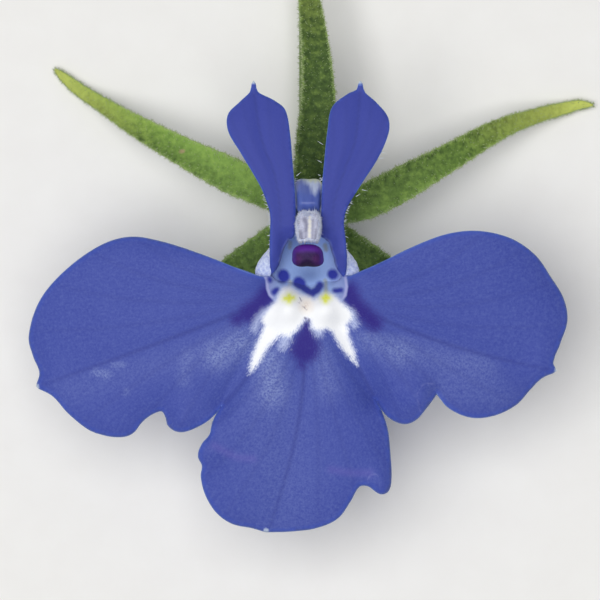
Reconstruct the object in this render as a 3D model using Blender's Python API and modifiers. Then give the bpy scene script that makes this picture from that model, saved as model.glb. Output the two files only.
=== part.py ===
"""One picked bloom of a trailing lobelia, lying face up on its sepals and its stalk.

Metres, +Z up. The origin is on the surface, under the middle of the bloom. +X is the right of the face,
and +Y runs from the lower lip towards the two upper lobes. Sizes below are millimetres, measured on the
face from the middle of the throat, and from the surface upwards.
"""

import math

import bmesh
import bpy
import numpy as np
from mathutils import Euler, Vector
from mathutils.geometry import delaunay_2d_cdt

MM = 0.001
THROAT_Y = -1.65  # the throat lies this far below the middle of the bloom's length

# Every blade of this bloom, petal and sepal alike
BLADE = 0.6

# The lower lip: height at the throat, and how far it droops towards its edges
LIP_HEIGHT = 7.0
SIDE_DROOP = 0.0135
FRONT_DROOP = 0.016
LIP_SPACING = 0.5
THROAT_HALF_WIDTH = 1.4
THROAT_HALF_DEPTH = 1.15
THROAT_MIDDLE = 0.15

# The lip's edge, clockwise from the left of the throat. Each run ends at a corner of the edge.
LEFT_LOBE_OUTER = (
    (-1.51, -0.40), (-2.40, -0.08), (-3.68, 0.37), (-4.90, 0.75), (-5.91, 0.90), (-6.90, 0.62),
    (-8.11, -0.23), (-8.92, -1.20), (-9.28, -2.37), (-9.13, -3.05), (-8.92, -3.60), (-9.05, -4.07),
)
LEFT_LOBE_INNER = (
    (-9.05, -4.07), (-8.50, -4.36), (-7.98, -4.93), (-7.30, -5.47), (-6.40, -5.73), (-5.84, -5.78),
    (-5.48, -5.63), (-5.33, -5.25), (-5.17, -4.93), (-4.85, -4.82), (-4.64, -5.00), (-4.55, -5.30),
    (-4.28, -5.48), (-3.85, -5.45), (-3.31, -5.17), (-2.84, -4.70),
)
MIDDLE_LOBE_LEFT = (
    (-2.84, -4.70), (-3.13, -5.25), (-3.24, -5.68), (-3.48, -5.98), (-3.61, -6.35), (-3.49, -6.67),
    (-3.53, -7.05), (-3.38, -7.68), (-3.01, -8.27), (-2.50, -8.62), (-1.85, -8.76), (-1.38, -8.90),
)
MIDDLE_LOBE_RIGHT = (
    (-1.38, -8.90), (-0.58, -8.88), (0.30, -8.76), (1.00, -8.45), (1.42, -7.88), (1.73, -7.38),
    (2.05, -7.36), (2.43, -7.60), (2.67, -7.53), (2.76, -7.10), (2.74, -6.40), (2.63, -5.40),
    (2.27, -4.45),
)
RIGHT_LOBE_INNER = (
    (2.27, -4.45), (2.72, -5.03), (3.22, -5.26), (3.62, -5.13), (3.97, -4.70), (4.29, -4.28),
)
RIGHT_LOBE_LOWER = (
    (4.29, -4.28), (4.72, -4.76), (5.45, -5.07), (6.20, -5.01), (6.95, -4.65), (7.46, -4.10),
    (7.85, -3.73), (8.34, -3.52),
)
RIGHT_LOBE_OUTER = (
    (8.34, -3.52), (8.19, -3.25), (8.42, -2.62), (8.66, -1.85), (8.53, -1.13), (8.09, -0.40),
    (7.62, 0.28), (6.90, 0.82), (6.10, 1.08), (5.30, 1.13), (4.40, 0.96), (3.22, 0.47), (2.20, -0.06),
    (1.49, -0.37),
)

# The two creases that run from the throat to the clefts between the lobes, and the depth of their folds
LEFT_CREASE = ((-1.30, -2.20), (-2.84, -4.70))
RIGHT_CREASE = ((1.20, -2.10), (2.27, -4.45))
CREASE_DEPTH = 0.25
CREASE_WIDTH = 0.45
MARGIN_ROLL = 0.22
MARGIN_WIDTH = 0.5

# The middle vein of each lobe of the lip, pressed into it
MIDVEINS = (
    ((-2.40, -1.87), (-8.60, -4.00)), ((2.30, -2.00), (8.10, -3.50)), ((-0.14, -3.50), (-0.90, -8.30)),
)
VEIN_DEPTH = 0.1
VEIN_WIDTH = 0.55

# Slow waves along the edge, and the places where it turns up: x, y, how high and how far round
WAVE_HEIGHT = 0.14
WAVE_REACH = 1.1
WAVES_ROUND = 11
EDGE_LIFTS = (
    (2.50, -7.40, 0.30, 0.60), (-3.50, -6.20, 0.26, 0.60), (3.75, -4.45, 0.28, 0.50),
    (-4.20, -5.20, 0.24, 0.60), (-8.70, -3.90, 0.16, 0.70), (8.05, -3.40, 0.20, 0.70),
)

# The two pale humps at the mouth of the throat
HUMP_X = 0.6
HUMP_Y = -1.45
HUMP_HEIGHT = 0.3
HUMP_WIDTH = 0.4

# The upper lobes, each in two runs from its base to its pointed tip and back
LEFT_UPPER_LOBE = (
    ((-1.30, 0.60), (-1.24, 1.67), (-1.60, 2.70), (-2.24, 3.77), (-2.63, 4.45), (-2.64, 5.00),
     (-2.14, 5.52), (-1.88, 5.90), (-1.81, 6.13)),
    ((-1.81, 6.13), (-1.70, 5.88), (-1.18, 5.52), (-0.74, 5.15), (-0.58, 4.35), (-0.50, 3.40),
     (-0.37, 2.55), (-0.42, 1.85), (-0.60, 0.60)),
)
RIGHT_UPPER_LOBE = (
    ((0.64, 0.60), (0.57, 1.85), (0.49, 2.60), (0.57, 3.40), (0.68, 4.45), (0.84, 5.25), (1.35, 5.72),
     (1.67, 5.93), (1.76, 6.13)),
    ((1.76, 6.13), (1.83, 5.92), (2.20, 5.52), (2.66, 4.92), (2.70, 4.42), (2.36, 3.57), (1.75, 2.62),
     (1.27, 1.70), (1.32, 0.60)),
)
UPPER_SPACING = 0.4
UPPER_BASE = 0.7
UPPER_LENGTH = 5.4
UPPER_RISE = 0.3
UPPER_RECURVE = 0.9

# The tube, from the calyx up to the throat, leaning back and split along its upper side
CALYX_Y = 1.6
CALYX_HEIGHT = 2.75
CALYX_TILT = math.radians(21)
TUBE_SEAT = 0.2
TUBE_HALF_WIDTH = 0.82
SLIT_HALF_ANGLE = math.radians(36)
TUBE_RINGS = 9
TUBE_STRIPS = 22

# The calyx cup, turned: radius and height along its own axis, from the top down
CUP_PROFILE = (
    (0.0, 0.04), (0.80, 0.0), (1.08, -0.10), (1.12, -0.35), (1.00, -0.85), (0.74, -1.35),
    (0.46, -1.72), (0.0, -1.80),
)
CUP_SIDES = 20

# The sepals' middle lines. All but the top one come down to the surface at their tips.
SEPALS = (
    ((0.05, 2.00, 2.60), (0.12, 2.72, 2.90), (0.22, 3.50, 3.22), (0.38, 5.80, 3.45), (0.15, 8.40, 3.00),
     (-0.25, 10.60, 2.20), (-0.60, 12.20, 1.35)),
    ((0.50, 1.85, 2.56), (1.20, 1.93, 2.60), (2.10, 2.13, 2.85), (4.25, 3.30, 2.75), (6.50, 4.60, 1.75),
     (7.90, 5.12, 0.80), (8.75, 5.36, 0.36), (9.30, 5.50, 0.30), (9.90, 5.68, 0.30)),
    ((-0.45, 1.85, 2.56), (-1.15, 2.15, 2.68), (-1.95, 2.60, 2.90), (-4.00, 3.75, 2.65),
     (-5.90, 4.80, 1.65), (-7.00, 5.50, 0.80), (-7.70, 5.95, 0.36), (-8.15, 6.30, 0.30),
     (-8.60, 6.70, 0.30)),
    ((-0.40, 1.35, 2.38), (-1.05, 0.82, 2.20), (-1.80, 0.25, 2.30), (-3.60, -1.05, 2.00),
     (-5.00, -2.06, 1.10), (-5.95, -2.73, 0.38), (-6.50, -3.12, 0.30), (-7.30, -3.65, 0.30)),
    ((0.40, 1.35, 2.38), (1.05, 0.84, 2.20), (1.80, 0.30, 2.30), (3.60, -0.95, 2.00),
     (4.95, -1.88, 1.10), (5.90, -2.54, 0.38), (6.45, -2.92, 0.30), (7.20, -3.45, 0.30)),
)
SEPAL_WIDTH = 1.25
SEPAL_TIP = 0.3
SEPAL_CHANNEL = 0.14
SEPAL_STATIONS = 18

# The stalk bends down from the calyx and lies along the surface under the top sepal
PEDICEL_RADIUS = 0.3
PEDICEL_ROUTE = (
    (2.29, 1.02), (2.48, 0.66), (2.90, 0.40), (3.50, 0.31), (4.60, 0.30), (6.20, 0.30), (7.80, 0.30),
    (9.00, 0.30),
)

# The column of joined filaments, the anther tube that it carries, and the stigma at its mouth
FILAMENT_RADIUS = 0.33
FILAMENT_ROUTE = (
    (1.56, 3.15), (1.86, 3.90), (2.20, 4.70), (2.38, 5.50), (2.34, 6.25), (2.12, 6.85), (1.84, 7.22),
)
ANTHER_RADIUS = 0.42
ANTHER_ROUTE = ((1.76, 7.32), (1.50, 7.55), (1.15, 7.74), (0.84, 7.80))
COLUMN_X = 0.04
STIGMA_LOBE = (0.32, 0.36, 0.26)
STIGMA_SPREAD = 0.24
STIGMA_PLACE = (0.02, 0.32, 7.72)


def make_material(name, colour, roughness):
    """A Principled material of one colour; nothing on a flower is metal."""
    material = bpy.data.materials.new(name)
    material.use_nodes = True
    shader = material.node_tree.nodes["Principled BSDF"]
    shader.inputs["Base Color"].default_value = (*colour, 1.0)
    shader.inputs["Roughness"].default_value = roughness
    shader.inputs["Metallic"].default_value = 0.0
    return material


def add_object(name, data, collection, material=None):
    piece = bpy.data.objects.new(name, data)
    collection.objects.link(piece)
    if material:
        data.materials.append(material)
    return piece


def on_bloom(x, y, z):
    """A point measured from the throat, in millimetres, as a place in the world."""
    return Vector((x, y + THROAT_Y, z)) * MM


def smooth_run(knots, step):
    """Evenly spaced points along a smooth curve through the knots, in any dimension, end included."""
    knots = np.array(knots, dtype=float)
    along = np.gradient(knots, axis=0)
    along /= np.linalg.norm(along, axis=1)[:, None]
    curve = []
    for start, end, out, into in zip(knots[:-1], knots[1:], along[:-1], along[1:]):
        reach = np.linalg.norm(end - start)
        for t in np.linspace(0, 1, 16, endpoint=False):
            curve.append(
                (2 * t**3 - 3 * t**2 + 1) * start + (t**3 - 2 * t**2 + t) * reach * out
                + (3 * t**2 - 2 * t**3) * end + (t**3 - t**2) * reach * into
            )
    curve = np.array(curve + [knots[-1]])
    lengths = np.concatenate(([0], np.cumsum(np.linalg.norm(np.diff(curve, axis=0), axis=1))))
    places = np.linspace(0, lengths[-1], max(2, round(lengths[-1] / step)) + 1)
    return np.column_stack([np.interp(places, lengths, axis) for axis in curve.T])


def loop_of(runs, step):
    """One closed loop from runs that meet at corners."""
    return np.concatenate([smooth_run(run, step)[:-1] for run in runs])


def depth_inside(points, loop):
    """How far each point lies inside a closed loop; outside it is negative."""
    start, end = loop, np.roll(loop, -1, axis=0)
    side = end - start
    points = points[:, None, :]
    share = np.clip(((points - start) * side).sum(2) / (side**2).sum(1), 0, 1)
    depth = np.linalg.norm(points - start - share[..., None] * side, axis=2).min(1)
    rise = np.where(side[:, 1] == 0, 1, side[:, 1])
    crossing = start[:, 0] + side[:, 0] * (points[..., 1] - start[:, 1]) / rise
    passed = ((start[:, 1] > points[..., 1]) != (end[:, 1] > points[..., 1])) & (points[..., 0] < crossing)
    return np.where(passed.sum(1) % 2 == 1, depth, -depth)


def near_line(x, y, line):
    """Distance from a straight line between two points."""
    start, end = Vector(line[0]), Vector(line[1])
    point = Vector((x, y))
    share = max(0.0, min(1.0, (point - start).dot(end - start) / (end - start).length_squared))
    return (point - start.lerp(end, share)).length


def petal(name, loop, spacing, height, collection):
    """A blade with the outline of the loop, laid over height(x, y, depth), as thick as every blade."""
    low, high = loop.min(axis=0), loop.max(axis=0)
    row_gap = spacing * math.sqrt(0.75)
    grid = [
        (x + spacing / 2 * (row % 2), low[1] + row * row_gap)
        for row in range(int((high[1] - low[1]) / row_gap) + 1)
        for x in np.arange(low[0], high[0], spacing)
    ]
    grid = np.array(grid)
    grid = grid[depth_inside(grid, loop) > spacing * 0.55]
    points = [Vector(p) for p in (*loop, *grid)]
    flat = delaunay_2d_cdt(points, [], [list(range(len(loop)))], 1, 1e-6)
    depths = np.maximum(depth_inside(np.array([tuple(p) for p in flat[0]]), loop), 0)
    mesh = bpy.data.meshes.new(name)
    places = [on_bloom(p.x, p.y, height(p.x, p.y, depth)) for p, depth in zip(flat[0], depths)]
    mesh.from_pydata(places, [], flat[2])
    blade = add_object(name, mesh, collection)
    thicken(blade)
    return blade


def thicken(sheet):
    solidify = sheet.modifiers.new("Thickness", "SOLIDIFY")
    solidify.thickness = BLADE * MM
    solidify.offset = 0


def bent_grid(name, columns, rows, place, collection):
    """A grid whose point at shares u and v of its two sides goes to place(u, v)."""
    sheet = bmesh.new()
    bmesh.ops.create_grid(sheet, x_segments=columns, y_segments=rows, size=0.5)
    for vertex in sheet.verts:
        vertex.co = place(vertex.co.x + 0.5, vertex.co.y + 0.5)
    bmesh.ops.triangulate(sheet, faces=sheet.faces)
    mesh = bpy.data.meshes.new(name)
    sheet.to_mesh(mesh)
    sheet.free()
    blade = add_object(name, mesh, collection)
    thicken(blade)
    return blade


def lip_height(x, y, depth):
    """The lip droops away from the throat, folds at its creases and humps, and rolls down at its edge."""
    height = LIP_HEIGHT - SIDE_DROOP * x**2 - FRONT_DROOP * min(y, 0) ** 2
    outward = min(1, math.hypot(x, y) / 4)
    height -= MARGIN_ROLL * math.exp(-depth / MARGIN_WIDTH) * outward
    for crease in (LEFT_CREASE, RIGHT_CREASE):
        height -= CREASE_DEPTH * math.exp(-((near_line(x, y, crease) / CREASE_WIDTH) ** 2))
    for vein in MIDVEINS:
        height -= VEIN_DEPTH * math.exp(-((near_line(x, y, vein) / VEIN_WIDTH) ** 2))
    wave = math.sin(WAVES_ROUND * math.atan2(x, -y))
    height += WAVE_HEIGHT * outward * math.exp(-depth / WAVE_REACH) * wave
    for at_x, at_y, lift, reach in EDGE_LIFTS:
        height += lift * math.exp(-((x - at_x) ** 2 + (y - at_y) ** 2) / reach**2)
    for side in (-1, 1):
        reach = math.hypot(x - side * HUMP_X, y - HUMP_Y) / HUMP_WIDTH
        height += HUMP_HEIGHT * math.exp(-(reach**2))
    return height


def throat_arc():
    """The lip's inner edge, along the lower side of the throat from right to left."""
    angles = np.radians(np.linspace(62, -62, 9))
    return np.column_stack([
        THROAT_HALF_WIDTH * np.sin(angles), THROAT_MIDDLE - THROAT_HALF_DEPTH * np.cos(angles)
    ])


def build_lip(collection):
    runs = (
        LEFT_LOBE_OUTER, LEFT_LOBE_INNER, MIDDLE_LOBE_LEFT, MIDDLE_LOBE_RIGHT, RIGHT_LOBE_INNER,
        RIGHT_LOBE_LOWER, RIGHT_LOBE_OUTER,
    )
    edge = np.concatenate([loop_of(runs, LIP_SPACING * 0.6), [RIGHT_LOBE_OUTER[-1]], throat_arc()])
    return petal("lip", edge, LIP_SPACING, lip_height, collection)


def upper_height(x, y, depth):
    """The upper lobes stand up from the throat and bend back towards their tips."""
    share = (y - UPPER_BASE) / UPPER_LENGTH
    return LIP_HEIGHT + UPPER_RISE * share - UPPER_RECURVE * max(share, 0) ** 2 + 0.12 * min(depth, 0.5)


def build_upper_lobe(name, runs, collection):
    loop = loop_of((*runs, (runs[1][-1], runs[0][0])), UPPER_SPACING * 0.7)
    return petal(name, loop, UPPER_SPACING, upper_height, collection)


def tube_place(u, v):
    """A point of the tube: u goes round its lower side from slit to slit, v from calyx to throat."""
    angle = (2 * u - 1) * (math.pi - SLIT_HALF_ANGLE)
    tilt = CALYX_TILT * (1 - v**2.5)
    across = TUBE_HALF_WIDTH + (THROAT_HALF_WIDTH - TUBE_HALF_WIDTH) * v**1.8
    deep = TUBE_HALF_WIDTH + (THROAT_HALF_DEPTH - TUBE_HALF_WIDTH) * v**1.6
    foot_y = CALYX_Y - TUBE_SEAT * math.sin(CALYX_TILT) - BLADE * 0.1
    foot_z = CALYX_HEIGHT + TUBE_SEAT * math.cos(CALYX_TILT)
    middle_y = foot_y + (THROAT_MIDDLE - foot_y) * v
    middle_z = foot_z + (LIP_HEIGHT - foot_z) * v
    back = -deep * math.cos(angle)
    return on_bloom(
        across * math.sin(angle), middle_y + back * math.cos(tilt), middle_z + back * math.sin(tilt)
    )


def build_tube(collection):
    return bent_grid("tube", TUBE_STRIPS, TUBE_RINGS, tube_place, collection)


def join(name, first, others, material):
    """The first piece with the others fused to it in one solid, under the given name."""
    gathered = bpy.data.collections.new("to be joined")
    for piece in others:
        gathered.objects.link(piece)
    union = first.modifiers.new("Join", "BOOLEAN")
    union.operation = "UNION"
    union.operand_type = "COLLECTION"
    union.collection = gathered
    union.solver = "MANIFOLD"
    bpy.context.view_layer.update()
    graph = bpy.context.evaluated_depsgraph_get()
    mesh = bpy.data.meshes.new_from_object(first.evaluated_get(graph))
    mesh.transform(first.matrix_world)
    mesh.name = name
    mesh.materials.clear()
    fused = add_object(name, mesh, first.users_collection[0], material)
    for piece in (first, *others):
        bpy.data.objects.remove(piece)
    bpy.data.collections.remove(gathered)
    return fused


def build_corolla(collection):
    """The tube, the lower lip and the upper lobes are one piece, as petals that grew together."""
    blue = make_material("petal blue", (0.08, 0.10, 0.38), 0.6)
    lip = build_lip(collection)
    others = [
        build_tube(collection),
        build_upper_lobe("left_upper_lobe", LEFT_UPPER_LOBE, collection),
        build_upper_lobe("right_upper_lobe", RIGHT_UPPER_LOBE, collection),
    ]
    return join("corolla", lip, others, blue)


def build_cup(collection):
    """The calyx cup is a turned profile, leaning as the tube does."""
    mesh = bpy.data.meshes.new("cup")
    points = [Vector((radius, 0, height)) * MM for radius, height in CUP_PROFILE]
    mesh.from_pydata(points, [(i, i + 1) for i in range(len(points) - 1)], [])
    cup = add_object("cup", mesh, collection)
    cup.location = on_bloom(0, CALYX_Y, CALYX_HEIGHT)
    cup.rotation_euler = Euler((CALYX_TILT, 0, 0))
    screw = cup.modifiers.new("Turn", "SCREW")
    screw.axis = "Z"
    screw.steps = CUP_SIDES
    screw.render_steps = CUP_SIDES
    screw.use_merge_vertices = True
    screw.merge_threshold = 1e-5
    return cup


def build_sepal(name, route, collection):
    """A narrow blade along its route, widest at its foot, channelled along its middle."""
    line = smooth_run(route, 0.1)
    along = np.gradient(line, axis=0)

    def place(u, v):
        at = v * (len(line) - 1)
        middle = Vector([np.interp(at, range(len(line)), axis) for axis in line.T])
        ahead = Vector([np.interp(at, range(len(line)), axis) for axis in along.T]).normalized()
        side = Vector((ahead.y, -ahead.x, 0)).normalized()
        width = max(SEPAL_TIP, SEPAL_WIDTH * (1 - 0.9 * v**1.8))
        channel = SEPAL_CHANNEL * math.sin(math.pi * min(1, v * 1.25)) if v < 0.8 else 0.0
        middle.z = max(middle.z, BLADE / 2)
        point = middle + side * width * (u - 0.5) + Vector((0, 0, channel * (4 * (u - 0.5) ** 2)))
        return on_bloom(*point)

    return bent_grid(name, 2, SEPAL_STATIONS, place, collection)


def build_calyx(collection):
    green = make_material("calyx green", (0.12, 0.22, 0.05), 0.7)
    cup = build_cup(collection)
    sepals = [
        build_sepal(f"sepal_{number}", route, collection) for number, route in enumerate(SEPALS, 1)
    ]
    return join("calyx", cup, sepals, green)


def build_cord(name, route, x, radius, swell, material, collection):
    """A round stem along a route of heights over the bloom's middle line, with closed ends."""
    points = smooth_run(route, radius * 1.2)
    curve = bpy.data.curves.new(name, "CURVE")
    curve.dimensions = "3D"
    curve.bevel_depth = radius * MM
    curve.bevel_resolution = 3
    curve.use_fill_caps = True
    spline = curve.splines.new("POLY")
    spline.points.add(len(points) - 1)
    for number, (y, z) in enumerate(points):
        share = number / (len(points) - 1)
        spline.points[number].co = (*on_bloom(x, y, z), 1)
        spline.points[number].radius = swell(share)
    return add_object(name, curve, collection, material)


def build_stigma(collection):
    """Two rounded lobes side by side, fused."""
    purple = make_material("stigma purple", (0.07, 0.02, 0.13), 0.45)
    lobes = []
    for side in (-1, 1):
        ball = bmesh.new()
        bmesh.ops.create_uvsphere(ball, u_segments=16, v_segments=10, radius=1)
        mesh = bpy.data.meshes.new("stigma_lobe")
        ball.to_mesh(mesh)
        ball.free()
        lobe = add_object("stigma_lobe", mesh, collection)
        x, y, z = STIGMA_PLACE
        lobe.location = on_bloom(x + side * STIGMA_SPREAD, y, z)
        lobe.scale = Vector(STIGMA_LOBE) * MM
        lobe.rotation_euler = Euler((0, 0, side * math.radians(20)))
        lobes.append(lobe)
    return join("stigma", lobes[0], lobes[1:], purple)


def build():
    for leftover in list(bpy.data.objects):
        bpy.data.objects.remove(leftover)
    collection = bpy.data.collections.new("trailing_lobelia")
    bpy.context.scene.collection.children.link(collection)
    build_corolla(collection)
    build_calyx(collection)
    build_cord(
        "pedicel", PEDICEL_ROUTE, 0, PEDICEL_RADIUS, lambda share: 1,
        make_material("stalk green", (0.14, 0.20, 0.06), 0.7), collection,
    )
    build_cord(
        "filament_tube", FILAMENT_ROUTE, COLUMN_X, FILAMENT_RADIUS, lambda share: 0.9 + 0.1 * share,
        make_material("filament blue", (0.09, 0.14, 0.42), 0.6), collection,
    )
    build_cord(
        "anther_tube", ANTHER_ROUTE, COLUMN_X, ANTHER_RADIUS, lambda share: 0.86 + 0.5 * share * (1 - share),
        make_material("anther grey", (0.36, 0.36, 0.44), 0.8), collection,
    )
    build_stigma(collection)


build()
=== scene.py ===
"""A picked bloom of a trailing lobelia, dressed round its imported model.

The frame is in metres, +Z up. Sizes below are millimetres, measured on the face from the middle of the
throat, +X to the right and +Y towards the two upper lobes, and upwards from the surface that it lies on.
"""

import math

import bpy
import numpy as np
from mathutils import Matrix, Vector
from mathutils.geometry import delaunay_2d_cdt


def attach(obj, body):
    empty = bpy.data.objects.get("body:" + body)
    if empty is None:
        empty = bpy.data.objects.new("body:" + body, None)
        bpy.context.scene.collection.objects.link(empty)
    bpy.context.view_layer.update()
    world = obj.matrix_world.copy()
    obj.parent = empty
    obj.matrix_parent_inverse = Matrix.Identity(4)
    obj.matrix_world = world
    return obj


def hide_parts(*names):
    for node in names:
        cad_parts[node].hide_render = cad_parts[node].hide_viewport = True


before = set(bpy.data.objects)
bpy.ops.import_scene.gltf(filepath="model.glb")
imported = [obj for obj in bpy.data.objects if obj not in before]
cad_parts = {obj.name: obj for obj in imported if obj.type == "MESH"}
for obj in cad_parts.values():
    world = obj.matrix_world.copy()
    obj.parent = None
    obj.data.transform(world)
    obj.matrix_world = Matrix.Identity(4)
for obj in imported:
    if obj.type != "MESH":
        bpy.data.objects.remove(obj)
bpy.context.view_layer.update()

# ---- Lower lip and tube ----
# One sheet of petal tissue, about 0.2 mm thick. The lip's three lobes are grown together as far as the
# two clefts. At the throat the sheet rolls down into the tube, which is split open along its upper side.

MM = 0.001
THROAT_Y = -1.65
LIP_HEIGHT = 7.0
LIP_THICKNESS = 0.18
LIP_SPACING = 0.1
THROAT_SPACING = 0.05
THROAT_REACH = (2.3, -3.9)
THROAT_TOP = 0.4
EDGE_STEP = 0.06

SIDE_DROOP = 0.0135
FRONT_DROOP = 0.016
MARGIN_ROLL = 0.22
MARGIN_WIDTH = 0.5
WAVE_HEIGHT = 0.14
WAVE_REACH = 1.1
WAVES_ROUND = 11
CALM_REACH = 4.0

# Creases below the two clefts and along the three midveins: line, depth and width
CREASES = (
    (((-1.30, -2.20), (-2.84, -4.70)), 0.25, 0.45), (((1.20, -2.10), (2.27, -4.45)), 0.25, 0.45),
    (((-2.40, -1.87), (-8.60, -4.00)), 0.10, 0.55), (((2.30, -2.00), (8.10, -3.50)), 0.10, 0.55),
    (((-0.14, -3.50), (-0.90, -8.30)), 0.10, 0.55),
)
# Where the edge turns up, and the two humps below the throat: place, height and width
LIFTS = (
    (2.50, -7.40, 0.30, 0.60), (-3.50, -6.20, 0.26, 0.60), (3.75, -4.45, 0.28, 0.50),
    (-4.20, -5.20, 0.24, 0.60), (-8.70, -3.90, 0.16, 0.70), (8.05, -3.40, 0.20, 0.70),
    (-0.60, -1.45, 0.30, 0.40), (0.60, -1.45, 0.30, 0.40),
)

# The lip's edge, clockwise from the left of the throat. Each run ends at a corner of the edge.
LIP_RUNS = (
    (
        (-1.51, -0.40), (-2.40, -0.08), (-3.68, 0.37), (-4.90, 0.75), (-5.91, 0.90), (-6.90, 0.62),
        (-8.11, -0.23), (-8.92, -1.20), (-9.28, -2.37), (-9.13, -3.05), (-8.92, -3.60), (-9.05, -4.07),
    ),
    (
        (-9.05, -4.07), (-8.50, -4.36), (-7.98, -4.93), (-7.30, -5.47), (-6.75, -5.66), (-6.33, -5.71),
        (-6.02, -5.67), (-5.80, -5.54), (-5.58, -5.25), (-5.33, -5.03), (-5.02, -4.87), (-4.82, -4.86),
        (-4.69, -5.06), (-4.59, -5.36), (-4.26, -5.53), (-3.85, -5.45), (-3.31, -5.17), (-2.84, -4.70),
    ),
    (
        (-2.84, -4.70), (-3.13, -5.25), (-3.24, -5.68), (-3.48, -5.98), (-3.61, -6.35), (-3.49, -6.67),
        (-3.53, -7.05), (-3.38, -7.68), (-3.01, -8.27), (-2.50, -8.62), (-1.85, -8.76), (-1.38, -8.90),
    ),
    (
        (-1.38, -8.90), (-0.58, -8.88), (0.30, -8.76), (1.00, -8.45), (1.42, -7.88), (1.73, -7.38),
        (2.05, -7.36), (2.43, -7.60), (2.67, -7.53), (2.76, -7.10), (2.74, -6.40), (2.63, -5.40),
        (2.27, -4.45),
    ),
    ((2.27, -4.45), (2.72, -5.03), (3.22, -5.26), (3.62, -5.13), (3.97, -4.70), (4.29, -4.28)),
    (
        (4.29, -4.28), (4.72, -4.76), (5.45, -5.07), (6.20, -5.01), (6.95, -4.65), (7.46, -4.10),
        (7.85, -3.73), (8.34, -3.52),
    ),
    (
        (8.34, -3.52), (8.19, -3.25), (8.42, -2.62), (8.66, -1.85), (8.53, -1.13), (8.09, -0.40),
        (7.62, 0.28), (6.90, 0.82), (6.10, 1.08), (5.30, 1.13), (4.40, 0.96), (3.22, 0.47), (2.20, -0.06),
        (1.49, -0.37),
    ),
)

# The throat's oval, the roll of the lip into it, and the tube below, leaning back to the calyx
THROAT_HALF_WIDTH = 1.4
THROAT_HALF_DEPTH = 1.15
THROAT_MIDDLE = 0.15
THROAT_ROLL = 0.45
THROAT_ROLL_WIDTH = 0.35
RIM_DROP = 0.08
LIP_HALF_ANGLE = math.radians(62)
LIP_ARC_POINTS = 61
SLIT_HALF_ANGLE = math.radians(26)
SIDE_ARC_POINTS = 40
RIM_BLEND_ANGLE = math.radians(35)
TUCK_ANGLE = math.radians(10)
CALYX_Y = 1.6
CALYX_HEIGHT = 2.75
CALYX_TILT = math.radians(21)
TUBE_FOOT = (CALYX_Y - 0.13, CALYX_HEIGHT + 0.19)
TUBE_HALF_WIDTH = 0.82
TUBE_ROWS = 46
TUBE_SIDE = 1.16
SHOULDER_ANGLE = math.radians(71)
SHOULDER_SPREAD = math.radians(21)
SHOULDER_HEIGHT = 6.3
SHOULDER_REACH = 0.4
SHOULDER_BULGE = 0.5
SHOULDER_START = 0.06
TUBE_COLOUR_REACH = 0.3
FAR_INSIDE = 2.0

# The two white fangs below the throat, down to their tips, and the pale patch that lines the throat
WHITE_FANGS = (
    (-1.04, -1.20), (-1.26, -1.42), (-1.50, -1.72), (-1.52, -1.90), (-1.44, -2.02), (-1.56, -2.34),
    (-1.70, -2.66), (-1.87, -3.13), (-1.93, -3.61), (-1.64, -3.32), (-1.33, -2.78), (-1.09, -2.50),
    (-0.86, -2.34), (-0.60, -2.42), (-0.42, -2.24), (-0.21, -2.02), (-0.06, -1.80), (0.09, -1.84),
    (0.14, -2.10), (0.34, -2.20), (0.62, -2.12), (0.84, -2.23), (1.08, -2.70), (1.33, -3.00),
    (1.65, -3.33), (1.57, -2.90), (1.38, -2.38), (1.33, -1.99), (1.48, -1.84), (1.50, -1.62),
    (1.36, -1.42), (1.14, -1.24), (0.96, -1.06), (0.81, -0.97), (0.52, -0.96), (0.22, -1.13),
    (-0.02, -1.05), (-0.20, -0.96), (-0.42, -0.80), (-0.60, -0.70), (-0.80, -0.74), (-0.93, -0.93),
)
THROAT_PATCH = (
    (-1.60, 2.60), (-1.50, -0.30), (-1.40, -0.50), (-1.37, -0.80), (-1.29, -1.02), (-1.12, -1.20),
    (-0.60, -1.50), (0.60, -1.50), (1.16, -1.24), (1.31, -1.02), (1.36, -0.72), (1.30, -0.30),
    (1.50, 0.20), (1.60, 2.60),
)
MIDDLE_BLUSH = (
    (-0.03, -1.82), (0.08, -2.08), (0.20, -2.45), (0.28, -2.75), (0.20, -3.00), (-0.04, -3.14),
    (-0.28, -3.06), (-0.44, -2.84), (-0.34, -2.55), (-0.12, -2.20),
)

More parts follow.
